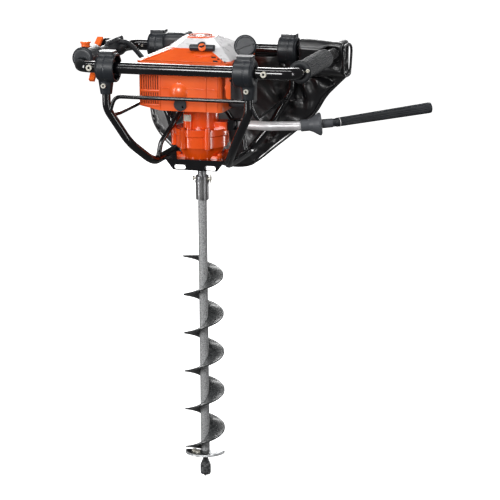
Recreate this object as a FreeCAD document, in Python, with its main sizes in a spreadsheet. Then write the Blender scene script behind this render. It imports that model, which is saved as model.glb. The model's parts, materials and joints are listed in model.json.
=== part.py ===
"""One-operator petrol earth auger: drill head, handle frame, hip pad and soil bit.

Frame: origin at the tip of the bit, +Z up the drive axis, the operator stands on the +Y side,
the throttle handle is on the -X side and the brake bar on the +X side.  Millimetres.
"""
import FreeCAD, Part
import math
import os
import re
import Sketcher

V = FreeCAD.Vector
UP = V(0, 0, 1)
ALONG_X = V(1, 0, 0)
ALONG_Y = V(0, 1, 0)

# --------------------------------------------------------------------------- driving dimensions
DIMS = [
    # soil bit
    ("bit_dia", 90), ("bit_pitch", 88.55), ("bit_turns", 5.075), ("bit_top", 513),
    ("flight_plate", 3), ("bit_shaft_dia", 20), ("collar_dia", 29), ("collar_low", 641),
    ("bit_length", 695), ("blade_height", 58), ("blade_plate", 4), ("point_width", 23),
    ("pin_dia", 6), ("pin_height", 688), ("seat_gap", 0.05),
    # handle frame
    ("handle_height", 954.5), ("handle_half_depth", 170), ("tube_dia", 25), ("tube_wall", 2.5),
    ("left_side", -225), ("right_side", 262), ("bar_half", 179), ("spigot_dia", 19.8),
    ("left_bend", 30), ("right_bend", 33),
    # mounts and hoops
    ("mount_half", 153.6), ("drum_dia", 62), ("drum_len", 43), ("leg_half", 159),
    ("leg_depth", 168), ("leg_top", 920), ("hoop_dia", 18.5), ("hoop_wall", 2),
    ("hoop_half", 84), ("hoop_low", 737.5), ("guard_dia", 8.5), ("guard_height", 892.5),
    ("brace_dia", 11),
    # skid plate
    ("plate_thick", 3), ("flange_low", 715), ("slot_len", 26), ("slot_width", 10),
    ("slot_gap", 69), ("slot_height", 721.5), ("plate_hole_dia", 84),
    # gearbox
    ("case_dia", 114), ("case_low_dia", 74), ("case_bottom", 730), ("case_step", 762),
    ("case_split", 797), ("lid_dia", 120), ("neck_dia", 76), ("engine_seat", 853),
    ("gear_module", 1.3), ("gear_offset", 26), ("gear_width", 8), ("spindle_dia", 20),
    ("wheel_low", 766), ("second_low", 782),
    # engine
    ("cylinder_height", 900), ("bore_dia", 36), ("crank_dia", 12), ("crank_throw", 14),
    ("flywheel_dia", 96), ("pulley_dia", 58),
    # cover, shroud, tank
    ("shroud_left", -104), ("shroud_right", 84), ("shroud_front", -118), ("shroud_back", 100),
    ("shroud_low", 857), ("shroud_top", 958), ("shell", 2.5), ("cover_top", 1004),
    ("disc_dia", 64), ("cap_dia", 48),
    # brake bar
    ("brake_tube_dia", 20), ("brake_rod_dia", 14), ("hinge_pin_dia", 8), ("hinge_gap", 0.05),
    # right grip and control handle
    ("grip_dia", 40), ("grip_flange_dia", 49), ("control_dia", 50),
    # throttle conduit
    ("conduit_dia", 11),
]

doc = FreeCAD.newDocument("earth_auger")
sheet = doc.addObject("Spreadsheet::Sheet", "dims")
for row, (alias, value) in enumerate(DIMS, start=1):
    sheet.set("A%d" % row, alias)
    sheet.set("B%d" % row, "%g" % value)
    sheet.setAlias("B%d" % row, alias)
doc.recompute()
ALIASES = {alias for alias, value in DIMS}
FOOT_SCREWS = [(-47, -20), (47, -20), (-47, 31), (47, 31)]
NODES = []


# --------------------------------------------------------------------------- helpers
def formula(expression):
    """Turn an expression in aliases into one that reads the sheet."""
    words = re.compile(r"[a-z_]{2,}[a-z_0-9]*")
    return words.sub(lambda m: "dims." + m.group(0) if m.group(0) in ALIASES else m.group(0),
                     str(expression))


def number(expression):
    return float(sheet.evalExpression(formula(expression)))


def place(obj, base, axis=UP, turn=0.0):
    """Place obj with its own Z along axis, its position bound to the sheet."""
    rotation = FreeCAD.Rotation(UP, axis).multiply(FreeCAD.Rotation(UP, turn))
    obj.Placement = FreeCAD.Placement(V(*[number(c) for c in base]), rotation)
    for letter, coordinate in zip("xyz", base):
        obj.setExpression(".Placement.Base.%s" % letter, formula(coordinate))
    return obj


def cylinder(name, dia, length, base, axis=UP, sweep=360, turn=0.0):
    obj = doc.addObject("Part::Cylinder", name)
    obj.setExpression("Radius", formula("(%s) / 2" % dia))
    obj.setExpression("Height", formula(length))
    obj.Angle = sweep
    return place(obj, base, axis, turn)


def cone(name, dia_low, dia_high, length, base, axis=UP, sweep=360, turn=0.0):
    obj = doc.addObject("Part::Cone", name)
    obj.setExpression("Radius1", formula("(%s) / 2" % dia_low))
    obj.setExpression("Radius2", formula("(%s) / 2" % dia_high))
    obj.setExpression("Height", formula(length))
    obj.Angle = sweep
    return place(obj, base, axis, turn)


def ball(name, dia, centre):
    obj = doc.addObject("Part::Sphere", name)
    obj.setExpression("Radius", formula("(%s) / 2" % dia))
    return place(obj, centre)


def box(name, low, high):
    """Box from its low corner to its high corner, both given as expressions."""
    obj = doc.addObject("Part::Box", name)
    for side, start, end in zip(("Length", "Width", "Height"), low, high):
        obj.setExpression(side, formula("(%s) - (%s)" % (end, start)))
    return place(obj, low)


def slanted_box(name, size, centre, axis, turn=0.0):
    """Box centred on a point, its own Z along axis."""
    obj = doc.addObject("Part::Box", name)
    for side, length in zip(("Length", "Width", "Height"), size):
        obj.setExpression(side, formula(length))
    half = V(*[number(length) / 2 for length in size])
    rotation = FreeCAD.Rotation(UP, axis).multiply(FreeCAD.Rotation(UP, turn))
    obj.Placement = FreeCAD.Placement(V(*[number(c) for c in centre]) - rotation.multVec(half),
                                      rotation)
    return obj


def fuse(name, *shapes):
    obj = doc.addObject("Part::MultiFuse", name)
    obj.Shapes = list(shapes)
    obj.Refine = True
    return obj


def cut(name, base, *tools):
    obj = doc.addObject("Part::Cut", name)
    obj.Base = base
    obj.Tool = tools[0] if len(tools) == 1 else fuse(name + "_tools", *tools)
    obj.Refine = True
    return obj


def common(name, base, tool):
    obj = doc.addObject("Part::Common", name)
    obj.Base = base
    obj.Tool = tool
    obj.Refine = True
    return obj


def group(name, *shapes):
    """Several separate solids in one node."""
    obj = doc.addObject("Part::Compound", name)
    obj.Links = list(shapes)
    return obj


def rounded(name, base, radius, wanted):
    """Fillet the edges of base for which wanted(edge) is true."""
    doc.recompute()
    obj = doc.addObject("Part::Fillet", name)
    obj.Base = base
    obj.Edges = [(i, radius, radius) for i, edge in enumerate(base.Shape.Edges, start=1)
                 if wanted(edge)]
    return obj


def runs_along(direction):
    """True for straight edges along direction."""
    def test(edge):
        if edge.Curve.TypeId != "Part::GeomLine":
            return False
        return abs(abs(edge.tangentAt(edge.FirstParameter).dot(direction)) - 1) < 1e-6
    return test


def every_edge(edge):
    return True


def shaped(name, shape):
    """A feature whose shape is worked out here, where no parametric feature fits."""
    obj = doc.addObject("Part::Feature", name)
    obj.Shape = shape
    return obj


def outline_sketch(body, name, plane_role, outline):
    """Closed polygon sketch on one of the body's planes, each corner bound to the sheet."""
    sketch = body.newObject("Sketcher::SketchObject", name)
    plane = [f for f in body.Origin.OriginFeatures if f.Role == plane_role][0]
    sketch.AttachmentSupport = [(plane, "")]
    sketch.MapMode = "FlatFace"
    corners = [V(number(across), number(up), 0) for across, up in outline]
    for i, corner in enumerate(corners):
        sketch.addGeometry(Part.LineSegment(corner, corners[(i + 1) % len(corners)]), False)
    for i in range(len(corners)):
        sketch.addConstraint(Sketcher.Constraint("Coincident", i, 2, (i + 1) % len(corners), 1))
    for i, (across, up) in enumerate(outline):
        for kind, value in (("DistanceX", across), ("DistanceY", up)):
            k = sketch.addConstraint(Sketcher.Constraint(kind, -1, 1, i, 1, number(value)))
            sketch.setExpression("Constraints[%d]" % k, formula(value))
    return sketch


def turned(name, outline, base=(0, 0, 0), axis=UP):
    """Body turned about its own Z from an outline of (radius, height) corners."""
    body = doc.addObject("PartDesign::Body", name)
    sketch = outline_sketch(body, name + "_outline", "XZ_Plane", outline)
    feature = body.newObject("PartDesign::Revolution", name + "_turn")
    feature.Profile = sketch
    feature.ReferenceAxis = (sketch, ["V_Axis"])
    feature.Angle = 360
    return place(body, base, axis)


def plate(name, plane_role, outline, thick, base=(0, 0, 0)):
    """Body padded both ways from a polygon on one of its planes."""
    body = doc.addObject("PartDesign::Body", name)
    sketch = outline_sketch(body, name + "_outline", plane_role, outline)
    feature = body.newObject("PartDesign::Pad", name + "_pad")
    feature.Profile = sketch
    feature.Midplane = True
    feature.setExpression("Length", formula(thick))
    return place(body, base)


def bent_path(points, radii):
    """Straight runs joined by tangent arcs, one radius for each inner point."""
    edges = []
    start = points[0]
    for before, corner, after, radius in zip(points, points[1:], points[2:], radii):
        into = (corner - before).normalize()
        out = (after - corner).normalize()
        turn = into.getAngle(out)
        if turn < 1e-4:
            continue
        reach = radius * math.tan(turn / 2)
        first = corner - into * reach
        last = corner + out * reach
        middle = (out - into).normalize()
        top = corner + middle * (radius / math.cos(turn / 2) - radius)
        edges.append(Part.LineSegment(start, first).toShape())
        edges.append(Part.Arc(first, top, last).toShape())
        start = last
    edges.append(Part.LineSegment(start, points[-1]).toShape())
    return Part.Wire(edges)


def pipe(points, radii, dia, bore=0.0):
    """Round bar or tube along a bent path."""
    path = bent_path(points, radii)
    direction = points[1] - points[0]

    def swept(diameter):
        circle = Part.Wire(Part.makeCircle(diameter / 2, points[0], direction))
        return path.makePipeShell([circle], True, False)

    solid = swept(dia)
    if bore:
        solid = solid.cut(swept(bore))
    return solid


def node(obj, label):
    obj.Label = label
    NODES.append(obj)
    return obj


def mirrored_x(points):
    return [V(-p.x, p.y, p.z) for p in points]


def along(start, axis, reach):
    """The point at a distance from start along axis, as three numbers."""
    return tuple(start + axis * reach)


# --------------------------------------------------------------------------- soil bit
def soil_bit():
    blank = cylinder("collar_blank", "collar_dia", "bit_length - collar_low", (0, 0, "collar_low"))
    lip = cylinder("collar_lip", "collar_dia + 3", 4, (0, 0, "bit_length - 16"))
    bore = cylinder("collar_bore", "bit_shaft_dia + 2 * seat_gap", "bit_length - collar_low + 2",
                    (0, 0, "collar_low - 1"))
    cross = cylinder("collar_cross", "pin_dia + 0.1", 60, (-30, 0, "pin_height"), ALONG_X)
    node(cut("collar", fuse("collar_body", blank, lip), bore, cross), "bit_collar")

    node(cylinder("bit_shaft", "bit_shaft_dia", "collar_low + 13 - 55", (0, 0, 55)), "bit_shaft")

    body = doc.addObject("PartDesign::Body", "flight")
    section = outline_sketch(body, "flight_section", "XZ_Plane", [
        ("bit_shaft_dia / 2 + seat_gap", "-flight_plate / 2"),
        ("bit_dia / 2", "-flight_plate / 2"),
        ("bit_dia / 2", "flight_plate / 2"),
        ("bit_shaft_dia / 2 + seat_gap", "flight_plate / 2")])
    helix = body.newObject("PartDesign::AdditiveHelix", "flight_helix")
    helix.Profile = section
    helix.ReferenceAxis = (section, ["V_Axis"])
    helix.Mode = "pitch-height-angle"
    helix.setExpression("Pitch", "dims.bit_pitch")
    helix.setExpression("Height", "dims.bit_pitch * dims.bit_turns")
    flight_start_turn = 198 - 360 * (number("bit_turns") - 5)
    place(body, (0, 0, "bit_top - bit_pitch * bit_turns"), UP, flight_start_turn)
    node(body, "bit_flight")

    disc = cone("blade_disc", "bit_dia", "bit_dia - 7", "blade_plate", (0, 0, "blade_height"),
                UP, 180, 186)
    hole = cylinder("blade_hole", "bit_shaft_dia + 2 * seat_gap", 20, (0, 0, "blade_height - 8"))
    bolt_turns = (214, 246)
    bolt_ring = 26
    drills = []
    bolts = []
    for i, turn in enumerate(bolt_turns):
        x = bolt_ring * math.cos(math.radians(turn))
        y = bolt_ring * math.sin(math.radians(turn))
        drills.append(cylinder("blade_drill_%d" % i, 6.2, 20, (x, y, "blade_height - 8")))
        shank = cylinder("blade_shank_%d" % i, 6, 9, (x, y, "blade_height - 1"))
        head = cylinder("blade_head_%d" % i, 11, 3.5, (x, y, "blade_height - 3.5"))
        nut = cylinder("blade_nut_%d" % i, 11, 4, (x, y, "blade_height + 4"))
        bolts.append(fuse("blade_bolt_%d" % i, shank, head, nut))
    node(cut("blade", disc, hole, *drills), "cutting_blade")

    fishtail = plate("fishtail", "XZ_Plane", [
        (0, 0), (3, 3), ("point_width / 2 - 1.5", 5), ("point_width / 2", 10),
        ("point_width / 2", 27), (8, 36), (4, 45), (5, 54.9), (-5, 54.9), (-4, 45), (-8, 36),
        ("-point_width / 2", 27), ("-point_width / 2", 10), ("1.5 - point_width / 2", 5),
        (-3, 3)], 6)
    node(fishtail, "centre_point")

    pin = cylinder("cross_pin", "pin_dia", 38, (-19, 0, "pin_height"), ALONG_X)
    pin_head = cylinder("cross_pin_head", 10, 2.5, (-21.5, 0, "pin_height"), ALONG_X)
    clip_rod = cylinder("clip_rod", 2.6, 20, (19.6, 0, "pin_height - 10"))
    pin_end = cylinder("cross_pin_end", 13, 1.4, (18.9, 0, "pin_height"), ALONG_X)
    node(group("bit_fasteners", fuse("coupling_pin", pin, pin_head, pin_end, clip_rod), *bolts),
         "bit_fasteners")


# --------------------------------------------------------------------------- handle frame
def handle_frame():
    y = number("handle_half_depth")
    z = number("handle_height")
    bars = []
    for side in (-1, 1):
        outer = cylinder("bar_outer_%d" % side, "tube_dia", "2 * bar_half",
                         ("-bar_half", "%d * handle_half_depth" % side, "handle_height"), ALONG_X)
        inner = cylinder("bar_inner_%d" % side, "tube_dia - 2 * tube_wall", "2 * bar_half + 2",
                         ("-bar_half - 1", "%d * handle_half_depth" % side, "handle_height"),
                         ALONG_X)
        bars.append(cut("bar_%d" % side, outer, inner))
    node(group("cross_bars", *bars), "cross_bars")

    spigots = []
    bolts = []
    for end, side_x, bend, bolt_x in ((-1, "left_side", "left_bend", -191),
                                      (1, "right_side", "right_bend", 197)):
        start = end * (number("bar_half") + 0.5)
        x = number(side_x)
        radius = number(bend)
        points = [V(start, -y, z), V(x, -y, z), V(x, y, z), V(start, y, z)]
        bent = shaped("handle_bend_%d" % end,
                      pipe(points, [radius, radius], number("tube_dia"),
                           number("tube_dia - 2 * tube_wall")))
        drills = [cylinder("handle_drill_%d_%d" % (end, side), 6.4, 40,
                           (bolt_x, side * y - 20, z), ALONG_Y) for side in (-1, 1)]
        node(cut("handle_%d" % end, bent, *drills),
             "handle_tube_left" if end < 0 else "handle_tube_right")
        for side in (-1, 1):
            low = min(end * 160, bolt_x + end * 5.5)
            rod = cylinder("spigot_rod_%d_%d" % (end, side), "spigot_dia",
                           abs(bolt_x + end * 5.5 - end * 160), (low, side * y, z), ALONG_X)
            hole = cylinder("spigot_hole_%d_%d" % (end, side), 6.4, 40,
                            (bolt_x, side * y - 20, z), ALONG_Y)
            spigots.append(cut("spigot_%d_%d" % (end, side), rod, hole))
            face = V(0, side, 0)
            shank = cylinder("bolt_shank_%d_%d" % (end, side), 6, 24,
                             (bolt_x, side * (y - 10), z), face)
            head = cylinder("bolt_head_%d_%d" % (end, side), 13, 5,
                            (bolt_x, side * (y + 12.6), z), face)
            socket = cylinder("bolt_socket_%d_%d" % (end, side), 6, 4,
                              (bolt_x, side * (y + 14.6), z), face)
            bolts.append(cut("handle_bolt_%d_%d" % (end, side),
                             fuse("bolt_blank_%d_%d" % (end, side), shank, head), socket))
    node(group("joint_spigots", *spigots), "joint_spigots")
    return bolts


def mounts(screws):
    """Four anti-vibration mounts: an open drum round the bar and a neck round the leg."""
    buffers = []
    for side_x, side_y in ((-1, -1), (1, -1), (-1, 1), (1, 1)):
        tag = "%s_%s" % ("front" if side_y < 0 else "rear", "left" if side_x < 0 else "right")
        centre = ("%d * mount_half" % side_x, "%d * handle_half_depth" % side_y, "handle_height")
        # the drum is open on its inner end, where the rubber buffer shows
        inward = V(-side_x, 0, 0)
        drum = turned("drum_" + tag, [
            (14, "-drum_len / 2"), ("drum_dia / 2 - 5", "-drum_len / 2"),
            ("drum_dia / 2 - 3", "2 - drum_len / 2"), ("drum_dia / 2 - 3", "5 - drum_len / 2"),
            ("drum_dia / 2", "5 - drum_len / 2"), ("drum_dia / 2", "-3.5"),
            ("drum_dia / 2 - 1.2", "-2.7"), ("drum_dia / 2 - 1.2", "-1.3"),
            ("drum_dia / 2", "-0.5"), ("drum_dia / 2", "drum_len / 2 - 1.5"),
            ("drum_dia / 2 - 1.5", "drum_len / 2"), ("drum_dia / 2 - 4", "drum_len / 2"),
            ("drum_dia / 2 - 5", "drum_len / 2 - 1"), ("drum_dia / 2 - 5", "4 - drum_len / 2"),
            (14, "4 - drum_len / 2")], centre, inward)
        leg = ("%d * leg_half" % side_x, "%d * leg_depth" % side_y)
        neck = cone("neck_" + tag, 25, 36, 38, leg + (897,))
        saddle = box("saddle_" + tag,
                     ("%s - 17" % centre[0], "%s - 15" % centre[1], "handle_height + 20"),
                     ("%s + 17" % centre[0], "%s + 15" % centre[1], "handle_height + 36.5"))
        boss = cylinder("boss_" + tag, 14, 10, (leg[0], "%s + %d" % (leg[1], 6 * side_y), 917),
                        V(0, side_y, 0))
        bowl = cylinder("bowl_" + tag, "drum_dia - 10", "drum_len - 4",
                        ("%s - %g * (drum_len / 2 - 4)" % (centre[0], -side_x), centre[1],
                         centre[2]), inward)
        leg_bore = cylinder("leg_bore_" + tag, "hoop_dia + 0.1", "leg_top - 890", leg + (890,))
        screw_bore = cylinder("screw_bore_" + tag, 5.2, 20, leg + (917,), V(0, side_y, 0))
        whole = fuse("mount_blank_" + tag, drum, rounded("saddle_soft_" + tag, saddle, 4,
                                                         runs_along(UP)), neck, boss)
        node(cut("mount_" + tag, whole, bowl, leg_bore, screw_bore), "mount_" + tag)

        buffers.append(turned("buffer_" + tag, [
            ("tube_dia / 2 + 0.05", -14), (20, -14), (20, -9), ("drum_dia / 2 - 5.05", -9),
            ("drum_dia / 2 - 5.05", 9), (19, 9), (17, 13), ("tube_dia / 2 + 0.05", 13)],
            centre, inward))
        face = "%s + %g" % (leg[1], 16.1 * side_y)
        shank = cylinder("screw_shank_" + tag, 5, 6, (leg[0], "%s - %g" % (face, 6 * side_y), 917),
                         V(0, side_y, 0))
        head = cylinder("screw_head_" + tag, 10.5, 4, (leg[0], face, 917), V(0, side_y, 0))
        socket = cylinder("screw_socket_" + tag, 5, 3, (leg[0], "%s + %g" % (face, 2 * side_y), 917),
                          V(0, side_y, 0))
        screws.append(cut("mount_screw_" + tag, fuse("screw_blank_" + tag, shank, head), socket))
    node(group("rubber_buffers", *buffers), "rubber_buffers")


def hoops_and_rods():
    """Two hoops under the frame, the guard rods and braces welded to them, and the skid plate."""
    leg_x = number("leg_half")
    leg_y = number("leg_depth")
    base_x = number("hoop_half")
    base_z = number("hoop_low")
    front = [V(leg_x, -leg_y, number("leg_top - 1")), V(leg_x, -leg_y, 866),
             V(117.6, -142.8, 788), V(base_x, -84, base_z)]
    back = [V(p.x, -p.y, p.z) for p in reversed(front)]
    route = front + back
    radii = [48, 88, 60, 60, 88, 48]
    dia = number("hoop_dia")
    bore = number("hoop_dia - 2 * hoop_wall")
    node(shaped("hoop_right", pipe(route, radii, dia, bore)), "hoop_right")
    node(shaped("hoop_left", pipe(mirrored_x(route), radii, dia, bore)), "hoop_left")
    # rods and plate edges are notched to the round of the hoops
    notches = [shaped("hoop_notch_right", pipe(route, radii, dia)),
               shaped("hoop_notch_left", pipe(mirrored_x(route), radii, dia))]

    rod = number("guard_dia")
    high = number("guard_height")
    front_rod = pipe([V(-153, -169, 852), V(-139, -171, high), V(155, -169, high)], [20], rod)
    left_rod = pipe([V(-149, -164, 851), V(-143, -130, 850), V(-148, 158, 848)], [60], rod)
    right_rod = pipe([V(163, -169.5, high - 5), V(177, -170, 856), V(150, 158, 847)], [14], rod)
    guards = fuse("guard_blank", shaped("guard_front", front_rod),
                  shaped("guard_left", left_rod), shaped("guard_right", right_rod))
    node(cut("guards", guards, *notches), "guard_rods")

    # one brace stands at the front left, the other at the rear right
    left_points = [V(-82, -56, 743), V(-78, -50, 774), V(-42.5, -15.5, 838),
                   V(-42.5, -15.5, 845)]
    right_points = [V(82, 58, 743), V(79, 56, 774), V(44, 38, 838), V(44, 38, 845)]
    brace_radii = [34, 8]
    brace = number("brace_dia")
    braces = group("brace_blank", shaped("brace_right", pipe(right_points, brace_radii, brace)),
                   shaped("brace_left", pipe(left_points, brace_radii, brace)))
    node(cut("braces", braces, *notches), "brace_rods")

    top = box("skid_top", (-77, -51, "hoop_low - 1.5"), (77, 51, "hoop_low - 1.5 + plate_thick"))
    flanges = []
    for side in (-1, 1):
        flange = plate("skid_flange_%d" % side, "XZ_Plane", [
            (-66, "hoop_low + 1.5"), (-66, "hoop_low - 2"), (-50, "flange_low"),
            (50, "flange_low"), (66, "hoop_low - 2"), (66, "hoop_low + 1.5")],
            "plate_thick", (0, "%d * 49.5" % side, 0))
        flanges.append(flange)
    hole = cylinder("skid_hole", "plate_hole_dia", 20, (0, 0, "hoop_low - 8"))
    slots = []
    for side in (-1, 1):
        middle = "%d * slot_gap / 2" % side
        half = "(slot_len - slot_width) / 2"
        slots.append(box("slot_run_%d" % side,
                         ("%s - %s" % (middle, half), -60, "slot_height - slot_width / 2"),
                         ("%s + %s" % (middle, half), -40, "slot_height + slot_width / 2")))
        for end in (-1, 1):
            slots.append(cylinder("slot_end_%d_%d" % (side, end), "slot_width", 20,
                                  ("%s + %d * %s" % (middle, end, half), -60, "slot_height"),
                                  ALONG_Y))
    holes = [cylinder("skid_drill_%d_%d" % (x, y), 6.4, 20, (x, y, "hoop_low - 8"))
             for x, y in FOOT_SCREWS]
    node(cut("skid", fuse("skid_blank", top, *flanges), hole, *(slots + holes + notches)),
         "skid_plate")


# --------------------------------------------------------------------------- gearbox
def gear_outline(teeth, tip, root, first_tooth):
    """Involute tooth outline, each flank thinned a little for backlash."""
    module = number("gear_module")
    pitch_radius = module * teeth / 2
    pressure = math.radians(20)
    base = pitch_radius * math.cos(pressure)
    backlash = 0.07 / pitch_radius
    half_tooth = math.pi / (2 * teeth) + math.tan(pressure) - pressure - backlash

    def flank_angle(radius):
        if radius <= base:
            return half_tooth
        angle = math.acos(base / radius)
        return half_tooth - (math.tan(angle) - angle)

    steps = 5
    start = max(base, root)
    levels = [start + (tip - start) * k / steps for k in range(steps + 1)]
    if root < base:
        levels.insert(0, root)
    points = []
    for tooth in range(teeth):
        centre = math.radians(first_tooth) + 2 * math.pi * tooth / teeth
        for radius in levels:
            angle = centre - flank_angle(radius)
            points.append(V(radius * math.cos(angle), radius * math.sin(angle), 0))
        for radius in reversed(levels):
            angle = centre + flank_angle(radius)
            points.append(V(radius * math.cos(angle), radius * math.sin(angle), 0))
    return Part.makePolygon(points + points[:1])


def gear(name, teeth, tip, root, first_tooth, width, base):
    profile = shaped(name + "_teeth", Part.Face(gear_outline(teeth, tip, root, first_tooth)))
    obj = doc.addObject("Part::Extrusion", name)
    obj.Base = profile
    obj.DirMode = "Custom"
    obj.Dir = UP
    obj.Solid = True
    obj.setExpression("LengthFwd", formula(width))
    return place(obj, base)


def gear_train():
    # output stage, 8 into 32 teeth, then input stage, 10 into 30 teeth, on one centre distance
    gap = number("gear_offset")
    wheel_tip = 21.4
    pinion_tip = 6.5
    second_tip = 20.3
    input_tip = 7.7
    clearance = 0.3

    spindle_foot = cylinder("spindle_foot", "spindle_dia - 0.1", 90, (0, 0, "collar_low + 15"))
    spindle_mid = cylinder("spindle_mid", "spindle_dia", 30, (0, 0, 735))
    spindle_step = cylinder("spindle_step", 26, 2.8, (0, 0, 763))
    spindle_top = cylinder("spindle_top", 14, 14, (0, 0, 762))
    spindle_cross = cylinder("spindle_cross", "pin_dia + 0.1", 60, (-30, 0, "pin_height"), ALONG_X)
    node(cut("spindle", fuse("spindle_blank", spindle_foot, spindle_mid, spindle_step,
                             spindle_top), spindle_cross), "output_spindle")

    wheel = gear("output_teeth", 32, wheel_tip, gap - pinion_tip - clearance, 90, "gear_width",
                 (0, 0, "wheel_low"))
    wheel_bore = cylinder("output_bore", 14.1, 20, (0, 0, "wheel_low - 5"))
    node(cut("output_wheel", wheel, wheel_bore), "output_gear")

    pinion = gear("lay_pinion", 8, pinion_tip, gap - wheel_tip - clearance, -90 + 180 / 8,
                  "gear_width + 1", (0, "gear_offset", "wheel_low - 0.5"))
    lay_core = cylinder("lay_core", 8, 46, (0, "gear_offset", 757))
    node(fuse("layshaft", pinion, lay_core), "layshaft")
    second = gear("second_teeth", 30, second_tip, gap - input_tip - clearance, -90 + 180 / 30,
                  "gear_width", (0, "gear_offset", "second_low"))
    second_bore = cylinder("second_bore", 8.1, 20, (0, "gear_offset", "second_low - 5"))
    node(cut("second_wheel", second, second_bore), "layshaft_wheel")

    pinion_in = gear("input_teeth", 10, input_tip, gap - second_tip - clearance, 90,
                     "gear_width + 1.5", (0, 0, "second_low - 1"))
    input_shaft = cylinder("input_shaft", 10, 20, (0, 0, 790))
    drum = turned("drum_cup", [
        (0, 807.5), (30, 807.5), (30, 830), (27, 830), (27, 810.5), (0, 810.5)])
    node(fuse("clutch_cup", pinion_in, input_shaft, drum), "clutch_drum")


def ring(name, bore, dia, low, high, centre_y=0):
    outer = cylinder(name + "_outer", dia, high - low, (0, centre_y, low))
    inner = cylinder(name + "_inner", bore, high - low + 2, (0, centre_y, low - 1))
    return cut(name, outer, inner)


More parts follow.
